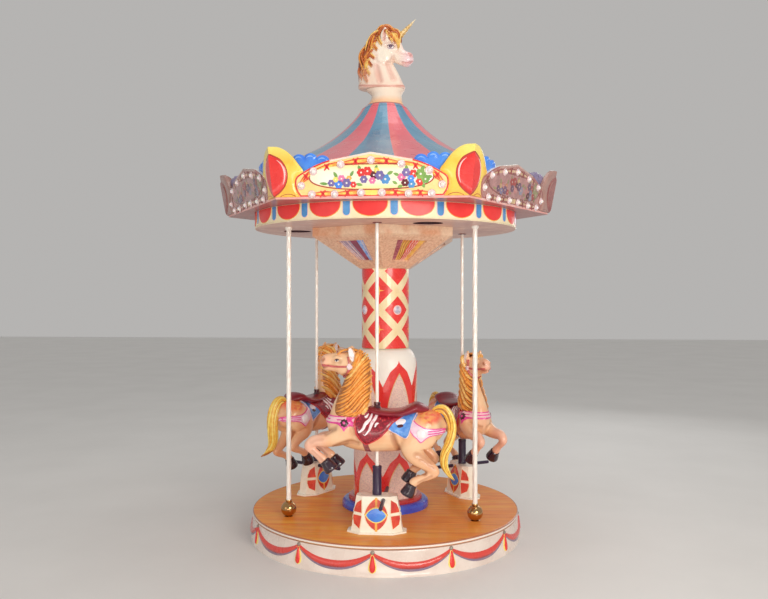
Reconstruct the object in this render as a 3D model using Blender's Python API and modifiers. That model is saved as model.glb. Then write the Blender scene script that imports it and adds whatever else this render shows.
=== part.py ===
"""A children's fairground carousel for three riders: a low round base, a turning wooden deck with a
painted centre column, and a canopy with six picture boards, a striped roof and a unicorn bust.
Three galloping horses ride up and down on poles. Metres, +Z up, the front looks along -Y,
and the origin is the centre of the base on the ground."""

import math

import bmesh
import bpy
from mathutils import Matrix, Vector

# Gaps
SEAT = 0.0003
RUN_GAP = 0.005
ROD_GAP = 0.0005

# Base and deck
DECK_RADIUS = 0.752
DECK_TOP = 0.150
DECK_THICK = 0.018
DECK_LOW = DECK_TOP - DECK_THICK
BASE_TOP = DECK_LOW - RUN_GAP
BASE_FOOT_RADIUS = 0.766
BEARING_RADIUS = 0.26
SPINDLE_RADIUS = 0.030
SPINDLE_TOP = DECK_TOP - 0.006

# Centre column
PLINTH_RADIUS = 0.2475
PLINTH_TOP = 0.193
COLLAR_RADIUS = 0.2115
COLLAR_TOP = 0.214
DRUM_RADIUS = 0.181
DRUM_SHOULDER = 0.962
DRUM_TOP = 1.0525
COLUMN_RADIUS = 0.135
CAPITAL_LOW = 1.5055
CAPITAL_RIM_LOW = 1.667
CAPITAL_FOOT = 0.160
CAPITAL_HEAD = 0.426
CAPITAL_RIM = 0.446
CAPITAL_WALL = 0.014
CAPITAL_SLOPE = (CAPITAL_HEAD - CAPITAL_FOOT) / (CAPITAL_RIM_LOW - CAPITAL_LOW)
WINDOW_LOW = 1.5405
WINDOW_HIGH = 1.649
WINDOW_HALF_LOW = 0.051
WINDOW_HALF_HIGH = 0.090
COS_HALF_SIDE = math.cos(math.radians(30))

# Canopy
SOFFIT = 1.7255
FASCIA_TOP = 1.8115
FASCIA_RADIUS = 0.742
TRAY_TOP = 1.8218
CROWN_APOTHEM = 0.8005
CROWN_LEAN = math.atan2(0.0378, 0.231)
BOARD_THICK = 0.015
CLOUD_THICK = 0.030
LAMP_RADIUS = 0.080
LAMP_DEPTH = 0.030
SIDES = 6

# Poles and horses
RIDERS = 3
CANOPY_POLE_RING = 0.583
CANOPY_POLE_RADIUS = 0.0135
BALL_RADIUS = 0.042
HORSE_RING = 0.515
HORSE_POLE_RADIUS = 0.0095
GUIDE_RADIUS = HORSE_POLE_RADIUS + 0.0055
PEDESTAL_TOP = 0.336
SLEEVE_RADIUS = 0.024
SLEEVE_TOP = 0.483
FOOTREST_RADIUS = 0.010
FOOTREST_REACH = 0.210
FOOTREST_BACK = 0.036
FOOTREST_Z = 0.318

# Each horse pole rides on a crank under the deck, a third of a turn on from the one ahead
CRANK = 0.0375
CRANK_ANGLES = (30.0, 150.0, -90.0)
POLE_END_AT_MIDSTROKE = (0.392, 1.800)
# The horse's stations below are those of the front one as the photo caught it
DRAWN_LIFT = CRANK * math.cos(math.radians(CRANK_ANGLES[0]))


def clear_scene():
    for obj in list(bpy.data.objects):
        bpy.data.objects.remove(obj)


def collection(name):
    made = bpy.data.collections.new(name)
    bpy.context.scene.collection.children.link(made)
    return made


def material(name, colour, roughness, metallic=0.0):
    made = bpy.data.materials.new(name)
    made.use_nodes = True
    shader = made.node_tree.nodes["Principled BSDF"]
    shader.inputs["Base Color"].default_value = (*colour, 1.0)
    shader.inputs["Roughness"].default_value = roughness
    shader.inputs["Metallic"].default_value = metallic
    return made


clear_scene()
PARTS = collection("carousel")
CUTTERS = collection("cutters")

CREAM = material("cream gelcoat", (0.90, 0.80, 0.62), 0.25)
WHITE = material("white gelcoat", (0.90, 0.86, 0.80), 0.25)
RED = material("red gelcoat", (0.75, 0.06, 0.05), 0.25)
BLUE = material("blue gelcoat", (0.10, 0.28, 0.85), 0.25)
YELLOW = material("yellow gelcoat", (0.95, 0.66, 0.10), 0.25)
TAN = material("gold fleck gelcoat", (0.72, 0.48, 0.30), 0.35)
DECK_WOOD = material("varnished wood", (0.66, 0.33, 0.11), 0.25)
BRASS = material("polished brass", (0.90, 0.70, 0.38), 0.18, 1.0)
STEEL = material("bearing steel", (0.55, 0.55, 0.56), 0.35, 1.0)
RUBBER = material("black rubber", (0.03, 0.02, 0.04), 0.50)
MIRROR = material("mirror glass", (0.75, 0.75, 0.78), 0.05, 1.0)
HORSE_PAINT = material("horse paint", (0.85, 0.52, 0.32), 0.30)
BUST_PAINT = material("bust paint", (0.92, 0.78, 0.68), 0.30)


def add_object(name, data, paint, into=None):
    obj = bpy.data.objects.new(name, data)
    (into or PARTS).objects.link(obj)
    if paint is not None:
        obj.data.materials.clear()
        obj.data.materials.append(paint)
    return obj


def mesh_from_bmesh(name, bm):
    bmesh.ops.recalc_face_normals(bm, faces=bm.faces)
    mesh = bpy.data.meshes.new(name)
    bm.to_mesh(mesh)
    bm.free()
    return mesh


def frozen(obj):
    """The object's mesh with its modifiers applied. The object itself is removed."""
    bpy.context.view_layer.update()
    graph = bpy.context.evaluated_depsgraph_get()
    mesh = bpy.data.meshes.new_from_object(obj.evaluated_get(graph))
    mesh.name = obj.name
    bpy.data.objects.remove(obj)
    return mesh


def smooth_shaded(obj, degrees=35.0):
    obj.data.shade_smooth()
    obj.data.set_sharp_from_angle(angle=math.radians(degrees))
    return obj


def turned(name, profile, paint, segments=48):
    """A turned solid from (radius, height) points that run down the outer side, top to bottom."""
    mesh = bpy.data.meshes.new(name)
    points = [(r, 0.0, z) for r, z in profile]
    edges = [(i, i + 1) for i in range(len(points) - 1)]
    on_axis = profile[0][0] == 0.0 and profile[-1][0] == 0.0
    if not on_axis:
        edges.append((len(points) - 1, 0))
    mesh.from_pydata(points, edges, [])
    obj = add_object(name, mesh, None)
    screw = obj.modifiers.new("turn", "SCREW")
    screw.steps = screw.render_steps = segments
    screw.use_merge_vertices = True
    screw.merge_threshold = 0.0001
    screw.use_smooth_shade = True
    made = frozen(obj)
    return smooth_shaded(add_object(name, made, paint))


def arc(centre, radius, start, end, steps):
    """Points of a circular arc in the (radius, height) plane, from start to end degrees."""
    angles = [math.radians(start + (end - start) * i / steps) for i in range(steps + 1)]
    return [(centre[0] + radius * math.cos(a), centre[1] + radius * math.sin(a)) for a in angles]


def cylinder_cutter(name, radius, low, high, at, segments=16):
    bm = bmesh.new()
    place = Matrix.Translation((at[0], at[1], (low + high) / 2))
    bmesh.ops.create_cone(bm, cap_ends=True, segments=segments, radius1=radius, radius2=radius,
                          depth=high - low, matrix=place)
    obj = add_object(name, mesh_from_bmesh(name, bm), None, CUTTERS)
    obj.hide_render = True
    obj.display_type = "WIRE"
    return obj


def cut(obj, cutter):
    boolean = obj.modifiers.new("cut " + cutter.name, "BOOLEAN")
    boolean.operation = "DIFFERENCE"
    boolean.solver = "EXACT"
    boolean.object = cutter


def round_the_axis(distance, azimuth, z=0.0):
    """A point at a distance from the axis. Azimuth 0 is the front (-Y) and 90 is +X."""
    a = math.radians(azimuth)
    return Vector((distance * math.sin(a), -distance * math.cos(a), z))


def crown_plane(azimuth):
    """The leaning plane of one side of the crown: x along it, y up it, z outwards."""
    a = math.radians(azimuth)
    out = Vector((math.sin(a), -math.cos(a), 0.0))
    along = Vector((math.cos(a), math.sin(a), 0.0))
    up = out * math.sin(CROWN_LEAN) + Vector((0, 0, math.cos(CROWN_LEAN)))
    face = along.cross(up)
    origin = out * CROWN_APOTHEM + Vector((0, 0, TRAY_TOP + SEAT))
    return Matrix.Translation(origin) @ Matrix((along, up, face)).transposed().to_4x4()


def board(outline, front, back):
    """A flat board with an (x, y) outline between two depths along z."""
    bm = bmesh.new()
    face = bm.faces.new([bm.verts.new((x, y, back)) for x, y in outline])
    pushed = bmesh.ops.extrude_face_region(bm, geom=[face])
    tops = [v for v in pushed["geom"] if isinstance(v, bmesh.types.BMVert)]
    bmesh.ops.translate(bm, verts=tops, vec=(0, 0, front - back))
    return bm


def make_base():
    bm = bmesh.new()
    place = Matrix.Translation((0, 0, BASE_TOP / 2))
    bmesh.ops.create_cone(bm, cap_ends=True, segments=72, radius1=BASE_FOOT_RADIUS,
                          radius2=DECK_RADIUS, depth=BASE_TOP, matrix=place)
    smooth_shaded(add_object("base_skirt", mesh_from_bmesh("base_skirt", bm), WHITE))
    low = BASE_TOP + SEAT
    high = DECK_LOW - SEAT
    turned("turntable_bearing", [(0, SPINDLE_TOP), (SPINDLE_RADIUS, SPINDLE_TOP), (SPINDLE_RADIUS, high),
                                 (BEARING_RADIUS, high), (BEARING_RADIUS, low), (0, low)], STEEL, 36)


def make_deck():
    bore = SPINDLE_RADIUS + ROD_GAP
    crown_of_bore = SPINDLE_TOP + 0.001
    profile = [(0, DECK_TOP), (DECK_RADIUS - 0.003, DECK_TOP), (DECK_RADIUS, DECK_TOP - 0.003),
               (DECK_RADIUS, DECK_LOW), (bore, DECK_LOW), (bore, crown_of_bore), (0, crown_of_bore)]
    turned("deck", profile, DECK_WOOD, 72)


def make_column():
    low = DECK_TOP + SEAT
    turned("column_plinth", [(0, PLINTH_TOP), (PLINTH_RADIUS - 0.012, PLINTH_TOP),
                             (PLINTH_RADIUS, PLINTH_TOP - 0.012), (PLINTH_RADIUS, low), (0, low)], BLUE, 40)
    low = PLINTH_TOP + SEAT
    turned("column_collar", [(0, COLLAR_TOP), (COLLAR_RADIUS - 0.008, COLLAR_TOP),
                             (COLLAR_RADIUS, COLLAR_TOP - 0.008), (COLLAR_RADIUS, low), (0, low)], RED, 40)
    low = COLLAR_TOP + SEAT
    rise = DRUM_TOP - DRUM_SHOULDER
    step_in = DRUM_RADIUS - COLUMN_RADIUS - 0.004
    shoulder = [(COLUMN_RADIUS + 0.004 + step_in * math.sin(math.radians(a)),
                 DRUM_SHOULDER + rise * math.cos(math.radians(a))) for a in range(0, 91, 18)]
    turned("column_drum", [(0, DRUM_TOP), *shoulder, (DRUM_RADIUS, low), (0, low)], WHITE, 40)
    low = DRUM_TOP + SEAT
    high = CAPITAL_LOW - SEAT
    turned("lattice_column", [(0, high), (COLUMN_RADIUS, high), (COLUMN_RADIUS, low), (0, low)], RED, 40)


def hexagon_ring(radius, z):
    return [round_the_axis(radius, 60.0 * i, z) for i in range(SIDES)]


def stacked_hexagons(rings):
    """A closed solid of hexagons joined one above the other, bottom first."""
    bm = bmesh.new()
    loops = [[bm.verts.new(p) for p in ring] for ring in rings]
    for lower, upper in zip(loops, loops[1:]):
        for i in range(SIDES):
            j = (i + 1) % SIDES
            bm.faces.new((lower[i], lower[j], upper[j], upper[i]))
    bm.faces.new(loops[0])
    bm.faces.new(loops[-1])
    return bm


def capital_face(azimuth):
    """The leaning plane of one capital face: x along it, y up it, z outwards, origin at its foot."""
    a = math.radians(azimuth)
    along = Vector((math.cos(a), math.sin(a), 0.0))
    out = Vector((math.sin(a), -math.cos(a), 0.0))
    up = (out * CAPITAL_SLOPE * COS_HALF_SIDE + Vector((0, 0, 1))).normalized()
    foot = out * CAPITAL_FOOT * COS_HALF_SIDE + Vector((0, 0, CAPITAL_LOW))
    plane = Matrix.Translation(foot) @ Matrix((along, up, along.cross(up))).transposed().to_4x4()
    return plane, up.z


def make_capital():
    """The six-sided upside-down pyramid under the soffit: a mirrored core in a framed skin."""
    high = SOFFIT - SEAT
    step_in = CAPITAL_WALL * math.hypot(1, CAPITAL_SLOPE * COS_HALF_SIDE) / COS_HALF_SIDE
    frame = add_object("capital_frame", mesh_from_bmesh("capital_frame", stacked_hexagons([
        hexagon_ring(CAPITAL_FOOT, CAPITAL_LOW),
        hexagon_ring(CAPITAL_HEAD, CAPITAL_RIM_LOW),
        hexagon_ring(CAPITAL_RIM, CAPITAL_RIM_LOW + 0.012),
        hexagon_ring(CAPITAL_RIM, high)])), TAN)
    floor = CAPITAL_LOW + CAPITAL_WALL
    inner_foot = CAPITAL_FOOT + CAPITAL_SLOPE * CAPITAL_WALL - step_in
    inner_head = CAPITAL_HEAD - step_in
    hollow = add_object("capital hollow", mesh_from_bmesh("hollow", stacked_hexagons([
        hexagon_ring(inner_foot, floor),
        hexagon_ring(inner_head, CAPITAL_RIM_LOW),
        hexagon_ring(inner_head, high + 0.05)])), None, CUTTERS)
    hollow.hide_render = True
    hollow.display_type = "WIRE"
    cut(frame, hollow)
    add_object("capital_mirrors", mesh_from_bmesh("capital_mirrors", stacked_hexagons([
        hexagon_ring(inner_foot - 2 * SEAT, floor + SEAT),
        hexagon_ring(inner_head - 2 * SEAT, CAPITAL_RIM_LOW),
        hexagon_ring(inner_head - 2 * SEAT, high)])), MIRROR)
    for k in range(SIDES):
        plane, rise = capital_face(30.0 + 60.0 * k)
        y_low = (WINDOW_LOW - CAPITAL_LOW) / rise
        y_high = (WINDOW_HIGH - CAPITAL_LOW) / rise
        outline = [(-WINDOW_HALF_LOW, y_low), (WINDOW_HALF_LOW, y_low),
                   (WINDOW_HALF_HIGH, y_high), (-WINDOW_HALF_HIGH, y_high)]
        window = board(outline, 0.03, -CAPITAL_WALL - SEAT)
        cutter = add_object(f"window cutter {k}", mesh_from_bmesh("window", window), None, CUTTERS)
        cutter.matrix_world = plane
        cutter.hide_render = True
        cutter.display_type = "WIRE"
        cut(frame, cutter)


def make_canopy_plates():
    """The round fascia drum over the riders and the six-sided tray that carries the crown boards."""
    fascia = turned("canopy_fascia", [(0, FASCIA_TOP), (FASCIA_RADIUS, FASCIA_TOP), (FASCIA_RADIUS, SOFFIT),
                                      (0, SOFFIT)], CREAM, 72)
    tray_radius = CROWN_APOTHEM / COS_HALF_SIDE
    rings = [[round_the_axis(tray_radius, 30.0 + 60.0 * i, z) for i in range(SIDES)]
             for z in (FASCIA_TOP + SEAT, TRAY_TOP)]
    tray = add_object("crown_tray", mesh_from_bmesh("crown_tray", stacked_hexagons(rings)), RED)
    for k in range(RIDERS):
        at = round_the_axis(HORSE_RING, 120.0 * k)
        guide = cylinder_cutter(f"guide {k}", GUIDE_RADIUS, SOFFIT - 0.05, TRAY_TOP + 0.05, at)
        cut(fascia, guide)
        cut(tray, guide)
        lamp_at = round_the_axis(HORSE_RING, 30.0 + 120.0 * k)
        cut(fascia, cylinder_cutter(f"lamp well {k}", LAMP_RADIUS, SOFFIT - 0.05, SOFFIT + LAMP_DEPTH,
                                    lamp_at, 24))


# Half outline of a crown board: distance from its middle, height up the leaning face
BOARD_HALF = [(0.341, 0.0), (0.360, 0.030), (0.3665, 0.065), (0.358, 0.095), (0.323, 0.1195), (0.260, 0.152),
              (0.188, 0.176), (0.095, 0.191), (0.040, 0.201), (0.0, 0.2075)]
# The crest that closes each corner, from the same middle of the board out to past the corner
CREST_GAP = 0.0006
CREST_EDGE = [(0.341, 0.0), (0.360, 0.030), (0.3665, 0.065), (0.358, 0.095), (0.323, 0.1195)]
CREST_TOP = [(0.345, 0.152), (0.372, 0.188), (0.405, 0.218), (0.437, 0.234), (0.462, 0.238), (0.50, 0.230)]
CREST_PAST_CORNER = [(0.50, 0.0)]
# The cloud behind each crest: lobes along its top, as (middle, height, radius)
CLOUD_LOBES = [(0.235, 0.160, 0.036), (0.292, 0.172, 0.034), (0.348, 0.168, 0.034)]


def make_crown():
    whole = [(x, y) for x, y in BOARD_HALF] + [(-x, y) for x, y in reversed(BOARD_HALF[:-1])]
    crest = ([(x + CREST_GAP, y) for x, y in CREST_EDGE[:-1]]
             + [(CREST_EDGE[-1][0] + CREST_GAP, CREST_EDGE[-1][1] + 0.0005)]
             + CREST_TOP + CREST_PAST_CORNER)
    cloud = cloud_outline()
    for k in range(SIDES):
        azimuth = 60.0 * k
        panel = add_object(f"picture_board_{k + 1}", mesh_from_bmesh("board", board(whole, 0.0, -BOARD_THICK)),
                           CREAM)
        panel.matrix_world = crown_plane(azimuth)
        corner(f"crest_{k + 1}", crest, 0.0, -BOARD_THICK, azimuth, YELLOW)
        back = -BOARD_THICK - SEAT
        corner(f"cloud_{k + 1}", cloud, back, back - CLOUD_THICK, azimuth, BLUE)


def cloud_outline():
    points = [(0.50, 0.0), (0.50, 0.150), (0.395, 0.150)]
    for middle, height, radius in reversed(CLOUD_LOBES):
        for step in range(5):
            a = math.radians(30.0 + 120.0 * step / 4)
            points.append((middle + radius * math.cos(a), height + radius * math.sin(a)))
    return points + [(0.195, 0.140), (0.230, 0.0)]


def corner(name, outline, front, back, azimuth, paint):
    """A board outline folded round the corner that lies 30 degrees on from a side of the crown."""
    turn = Matrix.Rotation(math.radians(azimuth + 30.0), 4, "Z")
    bm = board(outline, front, back)
    mesh = mesh_from_bmesh(name, bm)
    mesh.transform(turn.inverted() @ crown_plane(azimuth))
    half = add_object(name, mesh, None)
    mirror = half.modifiers.new("other flank", "MIRROR")
    mirror.use_axis = (True, False, False)
    mirror.use_bisect_axis = (True, False, False)
    mirror.use_bisect_flip_axis = (True, False, False)
    mirror.use_clip = True
    mirror.merge_threshold = 0.0001
    folded = frozen(half)
    obj = add_object(name, folded, paint)
    obj.matrix_world = turn
    return obj


# The roof's outer face, from the top down, as (radius, height)
ROOF_TOP = 2.418
ROOF_LINE = [(0.1385, ROOF_TOP), (0.172, 2.372), (0.200, 2.339), (0.245, 2.293), (0.300, 2.246), (0.350, 2.209),
             (0.410, 2.170), (0.550, 2.097), (0.700, 2.024), (0.775, 1.992)]
ROOF_SHELL = 0.012
ROOF_WALL_RADIUS = 0.735
EAVE_LOW = 1.982
CAP_TOP = 2.446
NECK_TOP = 2.538


def make_roof():
    inside = [(r - 0.006, z - ROOF_SHELL) for r, z in reversed(ROOF_LINE[:-1])]
    eave = ROOF_LINE[-1][0]
    turned("roof_shell", ([(0, ROOF_TOP)] + ROOF_LINE + [(eave, EAVE_LOW), (ROOF_WALL_RADIUS - 0.013, EAVE_LOW)]
                          + inside + [(0, ROOF_TOP - ROOF_SHELL)]), RED, 48)
    low = TRAY_TOP + SEAT
    high = EAVE_LOW - SEAT
    turned("roof_wall", [(ROOF_WALL_RADIUS - ROOF_SHELL, high), (ROOF_WALL_RADIUS, high),
                         (ROOF_WALL_RADIUS, low), (ROOF_WALL_RADIUS - ROOF_SHELL, low)], RED, 48)
    low = ROOF_TOP + SEAT
    turned("roof_cap", [(0, CAP_TOP), (0.110, CAP_TOP), (0.136, low + 0.003), (0.136, low), (0, low)], RED, 40)
    low = CAP_TOP + SEAT
    neck = [(0, NECK_TOP), (0.114, NECK_TOP), (0.104, 2.517), (0.0885, 2.500), (0.0900, 2.484), (0.0965, 2.466),
            (0.1070, low + 0.004), (0.1070, low), (0, low)]
    turned("finial_neck", neck, CREAM, 40)


def loft(bm, stations, sides=12, across=Vector((0, 1, 0))):
    """A closed tube through (point, half width across, half depth) stations, with rounded ends."""
    centres = [Vector(s[0]) for s in stations]
    first, last = centres[0], centres[-1]
    ways = []
    for i in range(len(centres)):
        ahead = centres[min(i + 1, len(centres) - 1)]
        behind = centres[max(i - 1, 0)]
        ways.append((ahead - behind).normalized())
    rings = []
    for centre, way, (_, wide, deep) in zip(centres, ways, stations):
        side = (across - way * across.dot(way)).normalized()
        up = way.cross(side)
        ring = []
        for k in range(sides):
            a = 2 * math.pi * k / sides
            ring.append(bm.verts.new(centre + side * wide * math.cos(a) + up * deep * math.sin(a)))
        rings.append(ring)
    for one, two in zip(rings, rings[1:]):
        for k in range(sides):
            j = (k + 1) % sides
            bm.faces.new((one[k], one[j], two[j], two[k]))
    ends = ((rings[0], first - ways[0] * stations[0][2] * 0.5), (rings[-1], last + ways[-1] * stations[-1][2] * 0.5))
    for ring, tip in ends:
        peak = bm.verts.new(tip)
        for k in range(sides):
            bm.faces.new((ring[k], ring[(k + 1) % sides], peak))


def fused(name, tubes, voxel, smoothing, target):
    """Overlapping tubes grown into one skin, smoothed and thinned to about the target triangle count."""
    bm = bmesh.new()
    for stations in tubes:
        loft(bm, stations)
    obj = add_object(name, mesh_from_bmesh(name, bm), None)
    remesh = obj.modifiers.new("one skin", "REMESH")
    remesh.mode = "VOXEL"
    remesh.voxel_size = voxel
    smooth = obj.modifiers.new("soften", "SMOOTH")
    smooth.factor = 0.5
    smooth.iterations = smoothing
    mesh = frozen(obj)
    count = 2 * len(mesh.polygons)
    obj = add_object(name, mesh, None)
    thin = obj.modifiers.new("thin", "DECIMATE")
    thin.ratio = target / count
    thin.use_collapse_triangulate = True
    return frozen(obj)


# The horse, in its own frame: x forward, y to its left, z up, the pole on the z axis.
# Each station is (point, half width, half depth).
BARREL = [((-0.338, 0, 0.690), 0.030, 0.040), ((-0.312, 0, 0.690), 0.066, 0.072), ((-0.250, 0, 0.690), 0.087, 0.088),
          ((-0.150, 0, 0.664), 0.084, 0.098), ((-0.050, 0, 0.654), 0.083, 0.098), ((0.050, 0, 0.658), 0.086, 0.103),
          ((0.130, 0, 0.676), 0.084, 0.102), ((0.195, 0, 0.696), 0.070, 0.086), ((0.235, 0, 0.706), 0.042, 0.054)]
NECK = [((0.135, 0, 0.700), 0.076, 0.110), ((0.120, 0, 0.770), 0.066, 0.098), ((0.100, 0, 0.840), 0.054, 0.076),
        ((0.088, 0, 0.910), 0.047, 0.062), ((0.086, 0, 0.980), 0.044, 0.058), ((0.092, 0, 1.030), 0.040, 0.048)]
HEAD = [((0.085, 0, 1.022), 0.036, 0.042), ((0.115, 0, 1.008), 0.046, 0.062), ((0.155, 0, 1.002), 0.047, 0.066),
        ((0.200, 0, 1.008), 0.038, 0.054), ((0.240, 0, 1.008), 0.031, 0.040), ((0.268, 0, 1.003), 0.029, 0.033),
        ((0.280, 0, 1.001), 0.022, 0.024)]
EAR = [((0.110, 0.026, 1.062), 0.014, 0.016), ((0.114, 0.030, 1.085), 0.011, 0.014), ((0.119, 0.032, 1.104), 0.005, 0.006)]
TAIL = [((-0.305, 0, 0.752), 0.018, 0.018), ((-0.335, 0, 0.772), 0.020, 0.022), ((-0.372, 0, 0.738), 0.024, 0.026),
        ((-0.385, 0, 0.670), 0.026, 0.026), ((-0.378, 0, 0.600), 0.026, 0.026), ((-0.358, 0, 0.540), 0.024, 0.025),
        ((-0.358, 0, 0.490), 0.020, 0.021), ((-0.378, 0, 0.445), 0.014, 0.014), ((-0.392, 0, 0.420), 0.007, 0.007)]
SADDLE = [((0.060, 0, 0.768), 0.030, 0.014), ((0.020, 0, 0.762), 0.060, 0.018), ((-0.050, 0, 0.752), 0.080, 0.018),
          ((-0.120, 0, 0.757), 0.082, 0.020), ((-0.175, 0, 0.779), 0.076, 0.022), ((-0.215, 0, 0.790), 0.056, 0.018)]
FORELEG = [((0.130, 0.052, 0.690), 0.040, 0.062), ((0.180, 0.060, 0.640), 0.036, 0.050), ((0.255, 0.066, 0.618), 0.030, 0.035),
           ((0.318, 0.068, 0.616), 0.027, 0.029), ((0.338, 0.068, 0.590), 0.025, 0.024), ((0.310, 0.067, 0.555), 0.019, 0.020),
           ((0.270, 0.066, 0.520), 0.021, 0.021), ((0.247, 0.066, 0.497), 0.026, 0.026), ((0.226, 0.066, 0.475), 0.028, 0.030)]
HINDLEG = [((-0.245, 0.045, 0.700), 0.052, 0.078), ((-0.195, 0.056, 0.630), 0.050, 0.078), ((-0.185, 0.060, 0.575), 0.042, 0.058),
           ((-0.235, 0.062, 0.518), 0.032, 0.038), ((-0.288, 0.062, 0.476), 0.024, 0.027), ((-0.262, 0.062, 0.445), 0.021, 0.022),
           ((-0.215, 0.062, 0.415), 0.019, 0.019), ((-0.188, 0.062, 0.390), 0.023, 0.023), ((-0.168, 0.062, 0.352), 0.028, 0.029)]
FAR_FORELEG_SHIFT = Vector((-0.045, 0, 0.030))
FAR_HINDLEG_SHIFT = Vector((-0.006, 0, 0.055))


def other_side(stations, shift, settle):
    """The same limb on the right side, shifted more and more from the given station on."""
    made = []
    for i, (point, wide, deep) in enumerate(stations):
        share = min(1.0, max(0.0, i / settle))
        made.append((Vector((point[0], -point[1], point[2])) + shift * share, wide, deep))
    return made


def horse_mesh():
    mirrored_ear = other_side(EAR, Vector((0, 0, 0)), 1)
    tubes = [BARREL, NECK, HEAD, EAR, mirrored_ear, TAIL, SADDLE, FORELEG, HINDLEG,
             other_side(FORELEG, FAR_FORELEG_SHIFT, 3), other_side(HINDLEG, FAR_HINDLEG_SHIFT, 4)]
    return fused("horse", tubes, 0.011, 3, 1500)


# The pedestal's rings: height over the deck, whole width, width of its front face, depth
PEDESTAL_RINGS = [(SEAT, 0.303, 0.172, 0.150), (0.008, 0.300, 0.170, 0.148), (0.008, 0.262, 0.164, 0.122),
                  (PEDESTAL_TOP - DECK_TOP, 0.208, 0.141, 0.092)]
PEDESTAL_CHAMFER = 0.70


def make_pedestal(k):
    """The painted tub under a horse: a tapered box with chamfered corners on a thin foot plate."""
    turn = Matrix.Translation(round_the_axis(HORSE_RING, 120.0 * k))
    turn = turn @ Matrix.Rotation(math.radians(120.0 * k), 4, "Z")
    bm = bmesh.new()
    rings = []
    for height, wide, front, deep in PEDESTAL_RINGS:
        x = wide / 2
        f = front / 2
        y = deep / 2
        s = y - (x - f) * PEDESTAL_CHAMFER
        ring = [(f, -y), (x, -s), (x, s), (f, y), (-f, y), (-x, s), (-x, -s), (-f, -y)]
        rings.append([bm.verts.new((px, py, DECK_TOP + height)) for px, py in ring])
    for one, two in zip(rings, rings[1:]):
        for i in range(8):
            j = (i + 1) % 8
            bm.faces.new((one[i], one[j], two[j], two[i]))
    bm.faces.new(rings[0])
    bm.faces.new(rings[-1])
    obj = add_object(f"pedestal_{k + 1}", mesh_from_bmesh("pedestal", bm), CREAM)
    obj.matrix_world = turn
    lying = turn @ Matrix.Translation((FOOTREST_BACK, 0, FOOTREST_Z)) @ Matrix.Rotation(math.radians(90), 4, "X")
    bar = turned(f"footrest_{k + 1}", [(0, FOOTREST_REACH), (FOOTREST_RADIUS - 0.003, FOOTREST_REACH),
                                       (FOOTREST_RADIUS, FOOTREST_REACH - 0.003),
                                       (FOOTREST_RADIUS, -FOOTREST_REACH + 0.003),
                                       (FOOTREST_RADIUS - 0.003, -FOOTREST_REACH), (0, -FOOTREST_REACH)],
                 RUBBER, 16)
    bar.matrix_world = lying
    bore = cylinder_cutter(f"footrest bore {k}", FOOTREST_RADIUS + SEAT, -0.2, 0.2, (0, 0), 16)
    bore.matrix_world = lying
    cut(obj, bore)


def make_poles(k):
    at = round_the_axis(CANOPY_POLE_RING, 60.0 + 120.0 * k)
    foot = DECK_TOP + SEAT
    centre = (0.0, foot + BALL_RADIUS * 0.94)
    ball = arc(centre, BALL_RADIUS, 72.6, -68.0, 10)
    top = SOFFIT - SEAT
    profile = [(0, top), (0.020, top), (0.020, top - 0.012), (CANOPY_POLE_RADIUS, top - 0.020),
               (CANOPY_POLE_RADIUS, ball[0][1])] + ball[1:] + [(0.016, foot), (0, foot)]
    pole = turned(f"canopy_pole_{k + 1}", profile, BRASS, 16)
    pole.location = at

    lift = CRANK * math.cos(math.radians(CRANK_ANGLES[k]))
    low = POLE_END_AT_MIDSTROKE[0] + lift
    high = POLE_END_AT_MIDSTROKE[1] + lift
    rod = turned(f"horse_pole_{k + 1}", [(0, high), (HORSE_POLE_RADIUS, high), (HORSE_POLE_RADIUS, low), (0, low)],
                 BRASS, 16)
    rod.location = round_the_axis(HORSE_RING, 120.0 * k)

    bore = HORSE_POLE_RADIUS + ROD_GAP
    low = PEDESTAL_TOP + SEAT
    sleeve = turned(f"pole_sleeve_{k + 1}", [(SLEEVE_RADIUS - 0.004, SLEEVE_TOP), (SLEEVE_RADIUS, SLEEVE_TOP - 0.004),
                                             (SLEEVE_RADIUS, low), (bore, low), (bore, SLEEVE_TOP)], RUBBER, 16)
    sleeve.location = round_the_axis(HORSE_RING, 120.0 * k)


def make_horses():
    mesh = horse_mesh()
    bored = add_object("bored", mesh, None)
    cutter = cylinder_cutter("pole bore", HORSE_POLE_RADIUS + SEAT, 0.40, 0.95, (0, 0), 16)
    cut(bored, cutter)
    mesh = frozen(bored)
    for k in range(RIDERS):
        horse = add_object(f"horse_{k + 1}", mesh.copy(), HORSE_PAINT)
        lift = CRANK * math.cos(math.radians(CRANK_ANGLES[k])) - DRAWN_LIFT
        place = Matrix.Translation(round_the_axis(HORSE_RING, 120.0 * k, lift))
        horse.matrix_world = place @ Matrix.Rotation(math.radians(180.0 + 120.0 * k), 4, "Z")
        smooth_shaded(horse, 60)


# The unicorn bust looks along +X. Stations are (point, half width, half depth).
BUST_FOOT = NECK_TOP + 2 * SEAT
BUST = [((-0.021, 0, 2.523), 0.076, 0.135), ((-0.021, 0, 2.548), 0.080, 0.141), ((-0.026, 0, 2.570), 0.074, 0.133),
        ((-0.030, 0, 2.600), 0.074, 0.122), ((-0.034, 0, 2.660), 0.067, 0.095),
        ((-0.036, 0, 2.720), 0.058, 0.080), ((-0.030, 0, 2.780), 0.054, 0.078), ((-0.016, 0, 2.830), 0.050, 0.072)]
BUST_HEAD = [((-0.030, 0, 2.842), 0.046, 0.062), ((0.006, 0, 2.812), 0.054, 0.080), ((0.045, 0, 2.784), 0.047, 0.070),
             ((0.087, 0, 2.743), 0.039, 0.058), ((0.121, 0, 2.715), 0.035, 0.052), ((0.138, 0, 2.705), 0.028, 0.041)]
BUST_EAR = [((-0.010, 0.034, 2.850), 0.014, 0.018), ((-0.004, 0.040, 2.874), 0.012, 0.015), ((0.002, 0.044, 2.897), 0.005, 0.006)]
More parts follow.
